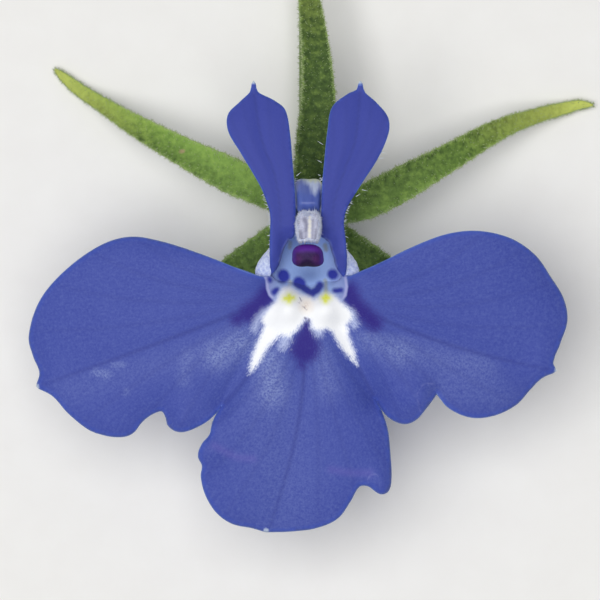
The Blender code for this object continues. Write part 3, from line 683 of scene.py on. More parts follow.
UPPER_BASE = 0.7
UPPER_LENGTH = 5.4
UPPER_RISE = 0.3
UPPER_RECURVE = 0.9
UPPER_SPACING = 0.1
STRIP_DIP = 0.42
FOOT_DIP = 0.42
UPPER_DOME = 0.12
UPPER_DOME_REACH = 0.5
UPPER_GROOVE = 0.07
UPPER_GROOVE_WIDTH = 0.2
FOOT_TOP = 0.35
FOOT_REACH = 0.7
STRIP_EDGE = 1.12
STRIP_FADE = 0.45
STRIP_TOP = 1.3
UPPER_VEIN_WIDTH = 0.05
UPPER_SIDE_VEIN_WIDTH = 0.06
UPPER_VEIN_SLANTS = (0.09, 0.20, 0.33)
UPPER_VEIN_STRENGTH = 0.9
UPPER_SIDE_VEIN_STRENGTH = 0.3
UPPER_VEIN_FORK = 2.6
UPPER_FLOW_TURN = 30.0
UPPER_POINT_RADIUS = 0.11
UPPER_LOBES = (
    (
        "left_upper_lobe",
        (
            (-1.20, -0.27), (-1.25, 0.15), (-1.25, 0.85), (-1.24, 1.67), (-1.38, 2.20), (-1.60, 2.70),
            (-2.24, 3.77), (-2.63, 4.45), (-2.64, 5.00), (-2.24, 5.43), (-1.95, 5.73), (-1.87, 5.93),
            (-1.85, 6.06), (-1.79, 6.14),
        ),
        (
            (-1.79, 6.14), (-1.73, 6.06), (-1.70, 5.91), (-1.59, 5.73), (-1.08, 5.45), (-0.74, 5.15),
            (-0.58, 4.35), (-0.50, 3.40), (-0.43, 2.60), (-0.40, 1.80), (-0.42, 1.25), (-0.47, 0.98),
            (-0.64, 0.87), (-0.79, 0.65), (-0.87, 0.40), (-0.96, 0.12), (-1.09, -0.17), (-1.20, -0.27),
        ),
        ((-1.78, 5.71), (-1.51, 4.13), (-1.08, 2.97), (-0.88, 1.40), (-1.05, 0.30)),
    ),
    (
        "right_upper_lobe",
        (
            (1.25, -0.42), (1.10, -0.22), (0.98, 0.03), (0.92, 0.27), (0.84, 0.52), (0.77, 0.77),
            (0.60, 0.91), (0.44, 1.04), (0.44, 1.40), (0.47, 1.85), (0.50, 2.60),
            (0.57, 3.40), (0.68, 4.45), (0.84, 5.25), (1.34, 5.68), (1.62, 5.83), (1.68, 5.94),
            (1.71, 6.06), (1.77, 6.14),
        ),
        (
            (1.77, 6.14), (1.84, 6.06), (1.87, 5.91), (1.98, 5.70), (2.30, 5.40), (2.68, 4.92), (2.71, 4.42),
            (2.36, 3.57), (1.75, 2.62),
            (1.32, 1.90), (1.22, 1.43), (1.28, 0.80), (1.32, 0.10), (1.25, -0.42),
        ),
        ((1.76, 5.71), (1.60, 4.14), (1.25, 3.17), (0.86, 1.78), (1.08, 0.30)),
    ),
)


def upper_height(x, y, depth, vein_gap):
    """An upper lobe bends back towards its tip, and its foot runs down over the rim of the throat."""
    share = (y - UPPER_BASE) / UPPER_LENGTH
    height = LIP_HEIGHT + UPPER_RISE * share - UPPER_RECURVE * np.maximum(share, 0) ** 2
    height += UPPER_DOME * np.minimum(depth, UPPER_DOME_REACH)
    height -= UPPER_GROOVE * bell(vein_gap, UPPER_GROOVE_WIDTH)
    height -= FOOT_DIP * np.clip((FOOT_TOP - y) / FOOT_REACH, 0, 1)
    inward = np.clip((STRIP_EDGE - abs(x)) / STRIP_FADE, 0, 1) ** 1.5
    return height - STRIP_DIP * inward * np.clip((STRIP_TOP - y) / FOOT_REACH, 0, 1)


upper_edges = {}
for name, rising, falling, midvein in UPPER_LOBES:
    loop = np.concatenate([smooth_run(run, EDGE_STEP)[:-1] for run in (rising, falling)])
    upper_edges[name] = loop
    inner = lattice(loop.min(0), loop.max(0), UPPER_SPACING)
    inner = inner[depth_inside(inner, loop) > UPPER_SPACING * 0.5]
    face, faces, _ = filled_inside(loop, inner)
    x, y = face.T
    depth = np.maximum(depth_inside(face, loop), 0)
    vein_line = smooth_run(midvein, 0.1)
    vein_gap = gap_to(face, vein_line)
    vein_x = np.interp(y, vein_line[::-1, 1], vein_line[::-1, 0])
    side = x - vein_x
    up = y + 2
    veins = UPPER_VEIN_STRENGTH * bell(vein_gap, UPPER_VEIN_WIDTH)
    for slant in UPPER_VEIN_SLANTS:
        for way in (-1, 1):
            side_gap = side - way * slant * (up - UPPER_VEIN_FORK)
            side_vein = UPPER_SIDE_VEIN_STRENGTH * bell(side_gap, UPPER_SIDE_VEIN_WIDTH)
            veins = np.maximum(veins, side_vein)
    fields = {field: np.full(len(face), -1.0) for field in lip_marks}
    fields["flow"] = np.column_stack([up, side * 1.6, np.full(len(up), UPPER_FLOW_TURN)])
    fields["vein"] = veins * np.clip(up / 2 - 0.8, 0, 1)
    fields["depth"] = np.maximum(1.8 * depth, np.where(y < 2.4, 0.05, 0.0))
    # Near the throat the inner margin is painted pale: the throat's colour, and painted light on its shaded
    # edge
    fields["throat"] = np.where((y < 1.0) & (abs(x) < abs(vein_x)), -0.3 * depth, -1.0)
    # Painted shade: the upper lobes are painted darker all over
    fields["shade"] = np.ones(len(face))
    fields["tip"] = UPPER_POINT_RADIUS - np.hypot(x - rising[-1][0], y - rising[-1][1])
    height = upper_height(x, y, depth, vein_gap)
    lobe = make_piece(name, np.column_stack([face, height]), faces, fields, petal_skin)
    thicken(lobe, LIP_THICKNESS)
    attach(lobe, "root")
    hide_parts("corolla")

# ---- Hairs of the upper lobes ----
# Clear, pointed hairs of one row of cells, which stand out from the margins: a few long ones along the
# blades, and a fringe of short ones on the outer margins near the throat.

LONG_HAIRS = (
    (-2.40, 4.02, -0.24, -0.03), (0.52, 4.02, -0.20, 0.13), (0.48, 3.42, -0.16, 0.10),
    (-0.36, 2.97, 0.17, 0.13), (-0.50, 3.52, 0.14, 0.02), (0.44, 2.98, -0.13, 0.08),
    (2.46, 3.77, 0.21, -0.05), (2.40, 3.55, 0.18, 0.02), (1.82, 2.51, 0.22, -0.05), (1.62, 2.28, 0.16, 0.10),
)
# The side of a fringe, where it begins and ends, and how many hairs it has
FRINGE = ((-1, 0.2, 2.4, 34), (1, 0.4, 2.3, 30))
FRINGE_LENGTHS = (0.06, 0.15)
FRINGE_DEPTH = 0.03
OUTER_MARGIN = 1.0
MARGIN_STEP = 0.12
PETAL_HAIR_RADIUS = 0.014


def hair_piece(name, roots, reaches, spread, radius, material):
    """A piece of tapered, three-sided hairs, each from its root along its reach, and bent at random."""
    roots, reaches = np.array(roots, dtype=float), np.array(reaches, dtype=float)
    bends = draw.normal(0, spread, roots.shape)
    length = np.linalg.norm(reaches, axis=1, keepdims=True)
    along = reaches / length
    side = np.cross(along, np.where(abs(along[:, 2:]) > 0.9, (1.0, 0, 0), (0, 0, 1.0)))
    side /= np.linalg.norm(side, axis=1, keepdims=True)
    up = np.cross(along, side)
    points = []
    for share, width in ((0, 1), (0.5, 0.7)):
        middle = roots + reaches * share + bends * share**2
        for turn in np.radians((90, 210, 330)):
            points.append(middle + radius * width * (side * math.cos(turn) + up * math.sin(turn)))
    points.append(roots + reaches + bends)
    points = np.stack(points, axis=1).reshape(-1, 3)
    pattern = ((0, 2, 1), (0, 1, 4, 3), (1, 2, 5, 4), (2, 0, 3, 5), (3, 4, 6), (4, 5, 6), (5, 3, 6))
    faces = [tuple(7 * hair + n for n in corners) for hair in range(len(roots)) for corners in pattern]
    points[:, 2] = np.maximum(points[:, 2], 0.0)
    return make_piece(name, points, faces, {}, material)


def mottled(name, scale, detail, dark, light, roughness):
    """A plain material, mottled between two tones by a fine noise."""
    material, tree, shader = new_surface(name)
    cells = add_node(tree, "TexNoise", {"Scale": scale, "Detail": detail})
    tone = add_node(tree, "Mix", {"Factor": cells, "A": dark, "B": light}, data_type="RGBA")
    wire(shader, {"Base Color": tone, "Roughness": roughness})
    return material


# Clear, colourless plant hair: bright where it catches the light.
clear_hair = mottled("clear plant hair", 9000.0, 1.0, "#C9D2E2", "#F2F5F8", 0.35)

draw = np.random.default_rng(11)
roots, reaches = [], []
for x, y, out, up in LONG_HAIRS:
    share = (y - UPPER_BASE) / UPPER_LENGTH
    roots.append((x, y, LIP_HEIGHT + UPPER_RISE * share - UPPER_RECURVE * share**2))
    reaches.append((out, up, 0.03))
for way, low, high, count in FRINGE:
    loop = upper_edges["left_upper_lobe" if way < 0 else "right_upper_lobe"]
    outer = loop[abs(loop[:, 0]) > OUTER_MARGIN]
    for y in np.sort(draw.uniform(low, high, count)):
        near = outer[abs(outer[:, 1] - y) < MARGIN_STEP]
        x = way * abs(near[:, 0]).max() - way * FRINGE_DEPTH
        length = draw.uniform(*FRINGE_LENGTHS)
        roots.append((x, y, LIP_HEIGHT + draw.uniform(-0.08, 0.04)))
        reaches.append((way * length, length * draw.uniform(-0.5, 0.7), length * draw.uniform(-0.2, 0.5)))
petal_hairs = hair_piece("upper_lobe_hairs", roots, reaches, 0.02, PETAL_HAIR_RADIUS, clear_hair)
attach(petal_hairs, "root")

# ---- Filament tube ----
# The five filaments are fused into one blue, slightly flattened column. It rises through the slit, bends
# over at its top, where it is pale and has a few fine hairs, and carries the anthers.

FILAMENT_ROUTE = (
    (1.56, 3.15), (1.88, 3.90), (2.26, 4.70), (2.46, 5.50), (2.41, 6.25), (2.15, 6.85), (1.84, 7.20),
)
FILAMENT_RADIUS = 0.297
FILAMENT_TOP_HALF_WIDTH = 0.50
FILAMENT_TOP_HALF_DEPTH = 0.46
COLUMN_X = 0.04
COLUMN_SIDES = 80
COLUMN_RIBS = 5
COLUMN_RIB_DEPTH = 0.06
COLUMN_SQUARENESS = 3.4
PALE_CREST = (
    (-0.30, 3.10), (0.60, 3.10), (0.60, 2.62), (0.42, 2.64), (0.22, 2.38), (0.05, 2.66), (-0.12, 2.80),
)
CREAM_EDGE = ((-0.46, 3.10), (0.60, 3.10), (0.60, 2.68), (0.32, 2.78), (0.0, 2.84), (-0.46, 2.88))
CREST_FOOT = 5.4
CREST_FADE = 0.2
CREST_PAINTED_SHADE = ((0.18, 2.05), (0.16, 0.30))


def ring_faces(rings, sides, capped=False):
    """Faces between rings of points, and over the first and last ring where it is capped."""
    faces = [
        (ring * sides + n, ring * sides + after, (ring + 1) * sides + after, (ring + 1) * sides + n)
        for ring in range(rings - 1) for n, after in zip(range(sides), (*range(1, sides), 0))
    ]
    if capped:
        faces += [tuple(range(sides))[::-1], tuple(range((rings - 1) * sides, rings * sides))]
    return faces


def wrapped_cord(route, half_widths, half_depths, sides, ridges, ridge_depth, squareness=2.0):
    """Rings of points round a route of heights over the bloom's middle line, closed at both ends."""
    turns = np.linspace(0, 2 * math.pi, sides, endpoint=False)
    swell = 1 - ridge_depth * (0.5 - 0.5 * np.cos(ridges * turns))
    swell *= (abs(np.cos(turns)) ** squareness + abs(np.sin(turns)) ** squareness) ** (-1 / squareness)
    points = []
    for (y, z), (dy, dz), wide, deep in zip(route, directions(route), half_widths, half_depths):
        out = deep * swell * np.cos(turns)
        points.append(np.column_stack([COLUMN_X + wide * swell * np.sin(turns), y - dz * out, z + dy * out]))
    return np.concatenate(points), ring_faces(len(route), sides, capped=True)


def streaked_tissue(name, scale, tones, grain, relief, roughness, marks):
    """Tissue with fine streaks of two tones, a low relief, and marks that the streaks' grain feathers."""
    material, tree, shader = new_surface(name)
    place = add_node(tree, "TexCoord", {}).outputs["Object"]
    space = add_node(tree, "Mapping", {"Vector": place, "Scale": scale})
    streaks = add_node(tree, "TexNoise", {"Vector": space, "Scale": 1.0, "Detail": 3.0})
    skin = add_node(tree, "Mix", {"Factor": streaks, "A": tones[0], "B": tones[1]}, data_type="RGBA")
    feather = add_node(tree, "Math", {0: streaks, 1: grain, 2: -grain / 2}, operation="MULTIPLY_ADD")
    skin = marked(tree, skin, feather, marks)
    ripple = add_node(tree, "Bump", {"Height": streaks, "Strength": relief[0], "Distance": relief[1]})
    wire(shader, {"Base Color": skin, "Normal": ripple, "Roughness": roughness})
    return material


# Fused filaments: smooth, slightly shiny blue tissue with long thin streaks.
filament_skin = streaked_tissue(
    "smooth filament tissue", (9000.0, 1200.0, 1200.0), ("#3E509E", "#5C71BC"), 0.3, (0.3, 0.00003), 0.45, (
        # A soft spot of painted shade on the column
        ("painted_shade", 0.00, 1.00, 1.00, 0.60, "#3E4C9C"),
        ("crest", -0.10, 0.10, 1.00, 0.80, "#C3CFE6"),
        ("rim", -0.06, 0.06, 1.00, 0.70, "#D9E0B0"),
    )
)

route = smooth_run(FILAMENT_ROUTE, 0.08)
shares = np.linspace(0, 1, len(route))
widening = np.clip((shares - 0.45) / 0.25, 0, 1)
taper = 1 - 0.3 * np.clip((shares - 0.72) / 0.28, 0, 1) ** 2
half_widths = (FILAMENT_RADIUS + (FILAMENT_TOP_HALF_WIDTH - FILAMENT_RADIUS) * widening) * taper
half_depths = (FILAMENT_RADIUS + (FILAMENT_TOP_HALF_DEPTH - FILAMENT_RADIUS) * widening) * taper
points, faces = wrapped_cord(
    route, half_widths, half_depths, COLUMN_SIDES, COLUMN_RIBS, COLUMN_RIB_DEPTH, COLUMN_SQUARENESS
)
column_face = points[:, :2]
above_foot = CREST_FADE * (points[:, 2] - CREST_FOOT)
fields = {
    "crest": np.minimum(depth_inside(column_face, PALE_CREST), above_foot),
    "painted_shade": soft_spot(*column_face.T, *CREST_PAINTED_SHADE),
    "rim": np.minimum(depth_inside(column_face, CREAM_EDGE), above_foot),
}
column = make_piece("filament_column", points, faces, fields, filament_skin)
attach(column, "root")
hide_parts("filament_tube")

# ---- Anther tube ----
# Five grey anthers joined edge to edge in a short curved tube, with a line of cream pollen along the top
# seam. White wool grows on their sides and backs, and fringes the mouth.

ANTHER_ROUTE = ((1.55, 7.42), (1.36, 7.62), (1.12, 7.73), (0.84, 7.76))
ANTHER_RADIUS = 0.42
ANTHER_SIDES = 80
ANTHER_RIBS = 5
ANTHER_RIB_DEPTH = 0.10
ANTHER_SQUARENESS = 2.4
POLLEN_SEAM = ((((0.08, 1.58), (0.07, 0.80)), 0.045),)
BARE_PANELS = (
    (((-0.32, 1.58), (-0.32, 1.36)), 0.03), (((-0.10, 1.52), (-0.02, 1.34), (-0.05, 1.12)), 0.06),
    (((-0.05, 1.06), (-0.05, 0.86)), 0.025), (((0.18, 1.48), (0.17, 0.82)), 0.02),
    (((-0.20, 1.10), (-0.18, 0.84)), 0.05), (((0.27, 1.16), (0.25, 0.84)), 0.01),
)

# Dry, papery anther walls: matt lilac grey where bare, white where felted, and cream along the split seam.
anther_wall = streaked_tissue(
    "papery anther wall", (5000.0, 16000.0, 9000.0), ("#A4A6C2", "#DADBEC"), 0.12, (0.6, 0.00004), 0.75, (
        ("bare", -0.06, 0.04, 1.00, 0.85, "#7E7F98"), ("seam", -0.03, 0.03, 1.00, 0.80, "#E8E5D8"),
    )
)

route = smooth_run(ANTHER_ROUTE, 0.04)
shares = np.linspace(0, 1, len(route))
radii = ANTHER_RADIUS * (0.88 + 0.5 * shares * (1 - shares) - 0.12 * shares) - 0.03
points, faces = wrapped_cord(
    route, radii * 1.06, radii * 0.9, ANTHER_SIDES, ANTHER_RIBS, ANTHER_RIB_DEPTH, ANTHER_SQUARENESS
)
fields = {"seam": spot_depth(points[:, :2], POLLEN_SEAM), "bare": spot_depth(points[:, :2], BARE_PANELS)}
anthers = make_piece("anthers", points, faces, fields, anther_wall)
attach(anthers, "root")
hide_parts("anther_tube")

# Anther wool: white crinkled hairs, thick enough to look like felt.
wool, tree, shader = new_surface("white anther wool")
place = add_node(tree, "TexCoord", {}).outputs["Object"]
tufts = add_node(tree, "TexNoise", {"Vector": place, "Scale": 6000.0, "Detail": 2.0})
tone = add_node(tree, "Mix", {"Factor": tufts, "A": "#BECAF0", "B": "#F8FAFF"}, data_type="RGBA")
wire(shader, {"Base Color": tone, "Roughness": 0.8})

WOOL_TRIES = 6000
WOOL_HALF_TURN = 2.2
FRINGE_HALF_TURN = 1.7
COLUMN_HAIR_SIDE = 0.7
WOOL_ROOTS = (1.0, 0.86, 0.86)
WOOL_LENGTHS = (0.05, 0.10)
FRINGE_HAIR_LENGTHS = (0.10, 0.18)
COLUMN_HAIR_LENGTH = 0.09
WOOL_RADIUS = 0.011
FRINGE_HAIRS = 420
COLUMN_HAIRS = 90
draw = np.random.default_rng(23)
roots, reaches = [], []
ahead = directions(route)
for _ in range(WOOL_TRIES):
    at = draw.integers(0, len(route))
    share = at / (len(route) - 1)
    turn = draw.uniform(-WOOL_HALF_TURN, WOOL_HALF_TURN)
    (y, z), (dy, dz) = route[at], ahead[at]
    out = np.array((math.sin(turn), dz * math.cos(turn), -dy * math.cos(turn)))
    root = np.array((COLUMN_X, y, z)) + out * radii[at] * WOOL_ROOTS
    # None grows on the seam and the bare panels, and little along the top towards the mouth
    bare = spot_depth(root[None, :2], POLLEN_SEAM + BARE_PANELS)[0] > -0.03
    if bare and abs(turn) < 1.3 or draw.random() < 0.7 * (abs(turn) < 0.9) * (share > 0.4):
        continue
    along = np.array((0, dy, dz))
    length = draw.uniform(*WOOL_LENGTHS)
    lean = along * draw.uniform(-0.3, 0.9)
    if share < 0.12:
        lean = -along * draw.uniform(0.8, 1.7) * (abs(turn - 0.05) > 0.35)
    roots.append(root)
    reaches.append((out * draw.uniform(0.25, 0.7) + lean) * length + draw.normal(0, 0.03, 3))
# The mouth's fringe, which reaches the stigma, and a few hairs on the edges of the column
for _ in range(FRINGE_HAIRS):
    turn = draw.uniform(-FRINGE_HALF_TURN, FRINGE_HALF_TURN)
    (y, z), (dy, dz) = route[-2], ahead[-1]
    out = np.array((math.sin(turn), dz * math.cos(turn), -dy * math.cos(turn)))
    roots.append(np.array((COLUMN_X, y, z)) + out * radii[-1] * WOOL_ROOTS)
    reaches.append(np.array((0, -1.0, -0.35)) * draw.uniform(*FRINGE_HAIR_LENGTHS) + draw.normal(0, 0.03, 3))
for _ in range(COLUMN_HAIRS):
    side = draw.choice((-1, 1), p=(COLUMN_HAIR_SIDE, 1 - COLUMN_HAIR_SIDE))
    x = COLUMN_X + side * draw.uniform(0.36, 0.45)
    roots.append((x, draw.uniform(2.15, 2.9), draw.uniform(5.9, 6.5)))
    reaches.append(np.array((side * 0.4, 0.3, 0.6)) * COLUMN_HAIR_LENGTH + draw.normal(0, 0.04, 3))
anther_wool = hair_piece("anther_wool", roots, reaches, 0.025, WOOL_RADIUS, wool)
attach(anther_wool, "root")

# ---- Stigma ----
# A plump two-lobed purple stigma that fills the mouth of the anther tube: a broad upper lip over a darker
# lower one, with a deep curved crease between them, and the skin covered in tiny sticky warts.

STIGMA_MIDDLE = (0.015, 0.303, 7.72)
STIGMA_HALF_WIDTH = 0.55
STIGMA_HALF_LENGTH = 0.388
STIGMA_HALF_HEIGHT = 0.25
STIGMA_SQUARENESS = 2.6
STIGMA_NOTCH = 0.035
STIGMA_HOOD = ((-0.34, -0.48), (-0.23, -0.28), (-0.08, -0.11), (0.06, -0.12), (0.22, -0.26), (0.34, -0.48))
STIGMA_CREASE = 0.04
STIGMA_CREASE_ARCH = 0.08
STIGMA_CREASE_DEPTH = 0.02
STIGMA_HOOD_DEPTH = 0.06
STIGMA_SKEW = 0.03
STIGMA_WARM_SPOTS = ((-0.32, -0.10), (0.26, -0.10))
STIGMA_WARM_REACH = (0.12, 0.13)
STIGMA_RINGS = 48
STIGMA_SIDES = 80

# Sticky stigma skin: dark purple, with a satin shine and fine warts.
stigma_skin, tree, shader = new_surface("warty stigma skin")
place = add_node(tree, "TexCoord", {}).outputs["Object"]
warts = add_node(tree, "TexVoronoi", {"Vector": place, "Scale": 16000.0})
mottle = add_node(tree, "TexNoise", {"Vector": place, "Scale": 7000.0, "Detail": 2.0})
skin = add_node(tree, "Mix", {"Factor": mottle, "A": "#240C3E", "B": "#3C1659"}, data_type="RGBA")
grain = add_node(tree, "Math", {0: mottle, 1: 0.3, 2: -0.15}, operation="MULTIPLY_ADD")
# Painted shade darkens the crease and the hollow under the upper lip
skin = marked(tree, skin, grain, (
    ("upper", 0.00, 1.00, 1.00, 0.85, "#571F94"), ("painted_crease_shade", 0.00, 1.00, 1.00, 0.65, "#2A0E4A"),
    ("ruddy", 0.00, 1.00, 1.00, 0.45, "#52145C"), ("flank", 0.00, 1.00, 1.00, 0.70, "#472C94"),
    ("painted_hood_shade", -0.08, 0.06, 1.00, 0.92, "#1A0630"),
))
bumps = add_node(tree, "Bump", {"Height": warts.outputs["Distance"], "Strength": 0.4, "Distance": 0.00003})
wire(shader, {"Base Color": skin, "Normal": bumps, "Roughness": 0.6, "Specular IOR Level": 0.25})

points = []
turns = np.linspace(0, 2 * math.pi, STIGMA_SIDES, endpoint=False)
power = 2 / STIGMA_SQUARENESS
for number in range(STIGMA_RINGS + 1):
    rise = math.pi * number / STIGMA_RINGS - math.pi / 2
    across = np.sign(np.cos(turns)) * abs(np.cos(turns)) ** power * math.cos(rise) ** 0.8
    along = np.sign(np.sin(turns)) * abs(np.sin(turns)) ** power * math.cos(rise) ** 0.8
    x = across * STIGMA_HALF_WIDTH * (1 + 0.14 * np.clip(-along - 0.5, -0.4, 0.5))
    x -= STIGMA_SKEW * along * (across > 0)
    y = along * STIGMA_HALF_LENGTH + STIGMA_NOTCH * bell(x, 0.2) * np.clip(-along, 0, 1)
    z = np.full(len(x), STIGMA_HALF_HEIGHT * math.sin(rise))
    hollow = STIGMA_CREASE_DEPTH * bell(y - STIGMA_CREASE + STIGMA_CREASE_ARCH * across**2, 0.12)
    hollow += STIGMA_HOOD_DEPTH * np.clip(depth_inside(np.column_stack([x, y]), STIGMA_HOOD) / 0.16, 0, 1)
    points.append(np.column_stack([x, y, z - hollow * (rise > 0)]))
points = np.concatenate(points)
x, y = points[:, 0], points[:, 1]
crease_gap = y - STIGMA_CREASE + STIGMA_CREASE_ARCH * (x / STIGMA_HALF_WIDTH) ** 2
# The crease and the hollow under the upper lip are painted dark as shade
fields = {
    "upper": np.clip(crease_gap / 0.16, 0, 1) * (1 - 0.7 * (abs(x) / STIGMA_HALF_WIDTH) ** 2),
    "painted_crease_shade": bell(crease_gap, 0.09),
    "ruddy": np.maximum(*(soft_spot(x, y, spot, STIGMA_WARM_REACH) for spot in STIGMA_WARM_SPOTS)),
    "flank": np.clip((abs(x) - 0.36) / 0.14, 0, 1),
    "painted_hood_shade": depth_inside(points[:, :2], STIGMA_HOOD),
}
faces = ring_faces(STIGMA_RINGS + 1, STIGMA_SIDES)
stigma = make_piece("stigma_lips", points + STIGMA_MIDDLE, faces, fields, stigma_skin)
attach(stigma, "root")
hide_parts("stigma")

# ---- Calyx cup ----
# The green cup round the foot of the tube, leaning with it, with ten low ribs and the feet of short hairs.

CUP_PROFILE = (
    (0.0, 0.04), (0.60, 0.02), (0.86, 0.0), (1.04, -0.08), (1.11, -0.22), (1.11, -0.38), (1.07, -0.60),
    (0.98, -0.90), (0.86, -1.16), (0.72, -1.40), (0.56, -1.60), (0.38, -1.73), (0.0, -1.80),
)
CUP_RIBS = 10
CUP_RIB_SHARE = 0.045
CUP_RIB_ENDS = (-0.12, -1.60)
CUP_SIDES = 120

# Calyx skin: matt green leaf tissue, mottled by air under the skin and by the feet of its hairs.
leaf_skin, tree, shader = new_surface("hairy calyx skin")
place = add_node(tree, "TexCoord", {}).outputs["Object"]
mottle = add_node(tree, "TexNoise", {"Vector": place, "Scale": 5200.0, "Detail": 4.0, "Roughness": 0.65})
mottle = add_node(tree, "MapRange", {"Value": mottle, "From Min": 0.3, "From Max": 0.7})
freckles = add_node(tree, "TexVoronoi", {"Vector": place, "Scale": 7000.0})
skin = add_node(tree, "Mix", {"Factor": mottle, "A": "#31461C", "B": "#557030"}, data_type="RGBA")
grain = add_node(tree, "Math", {0: mottle, 1: 0.8, 2: -0.4}, operation="MULTIPLY_ADD")
skin = marked(tree, skin, grain, (
    # Painted light: lighter green where a sepal is lit
    ("light", 0.1, 1.0, 0.5, 0.85, "#86AA4C"),
    ("tipward", 0.0, 0.9, 0.2, 0.90, "#C8D268"),
    ("midrib", 0.2, 1.0, 0.3, 0.45, "#A3BB72"),
    ("margin", 0.2, 1.0, 0.7, 0.50, "#9DB868"),
    ("scar", -0.04, 0.04, 0.05, 0.80, "#B08C78"),
))
pale = add_node(tree, "MapRange", {
    "Value": freckles.outputs["Distance"], "From Min": 0.25, "From Max": 0.05, "To Max": 0.2
})
skin = add_node(tree, "Mix", {"Factor": pale, "A": skin, "B": "#A4BC80"}, data_type="RGBA")
lumps = add_node(tree, "Bump", {"Height": mottle, "Strength": 0.5, "Distance": 0.00006})
wire(shader, {"Base Color": skin, "Normal": lumps, "Roughness": 0.65, "Specular IOR Level": 0.25})

profile = smooth_run(CUP_PROFILE, 0.08)
turns = np.linspace(0, 2 * math.pi, CUP_SIDES, endpoint=False)
points = []
for radius, height in profile:
    between_ends = CUP_RIB_ENDS[1] < height < CUP_RIB_ENDS[0]
    ribbed = radius * (1 + CUP_RIB_SHARE * np.cos(CUP_RIBS * turns) * between_ends)
    x, y, z = ribbed * np.sin(turns), ribbed * np.cos(turns), np.full(CUP_SIDES, height)
    lean_y = y * math.cos(CALYX_TILT) - z * math.sin(CALYX_TILT)
    lean_z = y * math.sin(CALYX_TILT) + z * math.cos(CALYX_TILT)
    points.append(np.column_stack([x, CALYX_Y + lean_y, CALYX_HEIGHT + lean_z]))
points = np.concatenate(points)
faces = [(first, *others[::-1]) for first, *others in ring_faces(len(profile), CUP_SIDES)]
ribs = np.tile(np.clip(np.cos(CUP_RIBS * turns), 0, 1), len(profile))
fields = {
    "midrib": ribs, "light": np.full(len(points), 0.3), "tipward": np.zeros(len(points)),
    "margin": np.zeros(len(points)), "scar": np.full(len(points), -1.0),
}
cup = make_piece("calyx_cup", points, faces, fields, leaf_skin)
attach(cup, "root")
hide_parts("calyx")

# ---- Sepals ----
# Five narrow green sepals of one growth with the cup, channelled above and keeled below. Their margins
# and both faces carry short pale hairs. All but the top one rest on the surface near their tips.

# Name, painted light along its length, how pale its tip is, breadth, breadth at the base, and its middle
# line
SEPALS = (
    ("top_sepal", 0.0, 0.45, 1.08, 1.0, (
        (0.05, 2.00, 2.60), (0.12, 2.72, 2.90), (0.22, 3.50, 3.22), (0.38, 5.80, 3.45), (0.15, 8.40, 3.00),
        (-0.25, 10.60, 2.20), (-0.60, 12.20, 1.35),
    )),
    ("right_sepal", 0.50, 1.0, 1.0, 1.0, (
        (0.50, 1.85, 2.56), (1.20, 1.98, 2.60), (2.10, 2.21, 2.85), (4.25, 3.34, 2.75), (6.50, 4.61, 1.75),
        (7.90, 5.13, 0.80), (8.75, 5.36, 0.36), (9.30, 5.49, 0.30), (9.74, 5.48, 0.30),
    )),
    ("left_sepal", 0.85, 0.8, 1.0, 0.65, (
        (-0.45, 1.85, 2.56), (-1.12, 2.27, 2.68), (-1.90, 2.70, 2.90), (-4.00, 3.75, 2.65),
        (-5.90, 4.80, 1.65), (-7.00, 5.50, 0.80), (-7.70, 5.95, 0.36), (-8.15, 6.30, 0.30),
        (-8.60, 6.70, 0.30),
    )),
    ("lower_left_sepal", 0.4, 0.8, 1.0, 1.0, (
        (-0.40, 1.35, 2.38), (-1.05, 0.82, 2.20), (-1.80, 0.25, 2.30), (-3.60, -1.05, 2.00),
        (-5.00, -2.06, 1.10), (-5.95, -2.73, 0.38), (-6.50, -3.12, 0.30), (-7.30, -3.65, 0.30),
    )),
    ("lower_right_sepal", 0.4, 0.8, 1.0, 1.0, (
        (0.40, 1.35, 2.38), (1.05, 0.84, 2.20), (1.80, 0.30, 2.30), (3.60, -0.95, 2.00),
        (4.95, -1.88, 1.10), (5.90, -2.54, 0.38), (6.45, -2.92, 0.30), (7.20, -3.45, 0.30),
    )),
)
# How wide a sepal is along its length: shares of the length, and half widths
SEPAL_HALF_WIDTHS = (
    (0.0, 0.56), (0.12, 0.59), (0.25, 0.60), (0.41, 0.49), (0.59, 0.385), (0.78, 0.26), (0.89, 0.215),
    (0.95, 0.165), (0.985, 0.09), (1.0, 0.03),
)
SCAR = ((((-4.28, 3.86), (-4.20, 3.87)), 0.06),)
HAIRS_A_RING = 22
CALYX_HAIR_LENGTHS = (0.06, 0.13)
CALYX_HAIR_RADIUS = 0.011
SEPAL_THICKNESS = 0.24
SEPAL_CHANNEL = 0.16
SEPAL_SIDES = 28
SEPAL_BASE_SHARE = 0.22
SEPAL_RIPPLE = 0.025
SEPAL_KEEL = 0.5
SEPAL_KEEL_SHARE = 0.35
SEPAL_THINNING = 0.45
SEPAL_CHANNEL_END = 0.8
EDGE_HAIR_SHARE = 0.7
SEPAL_LOWEST = 0.30

# Calyx hair: short, stiff and pale green.
calyx_hair = mottled("short calyx hair", 9000.0, 1.0, "#94A86C", "#C6D2A4", 0.5)

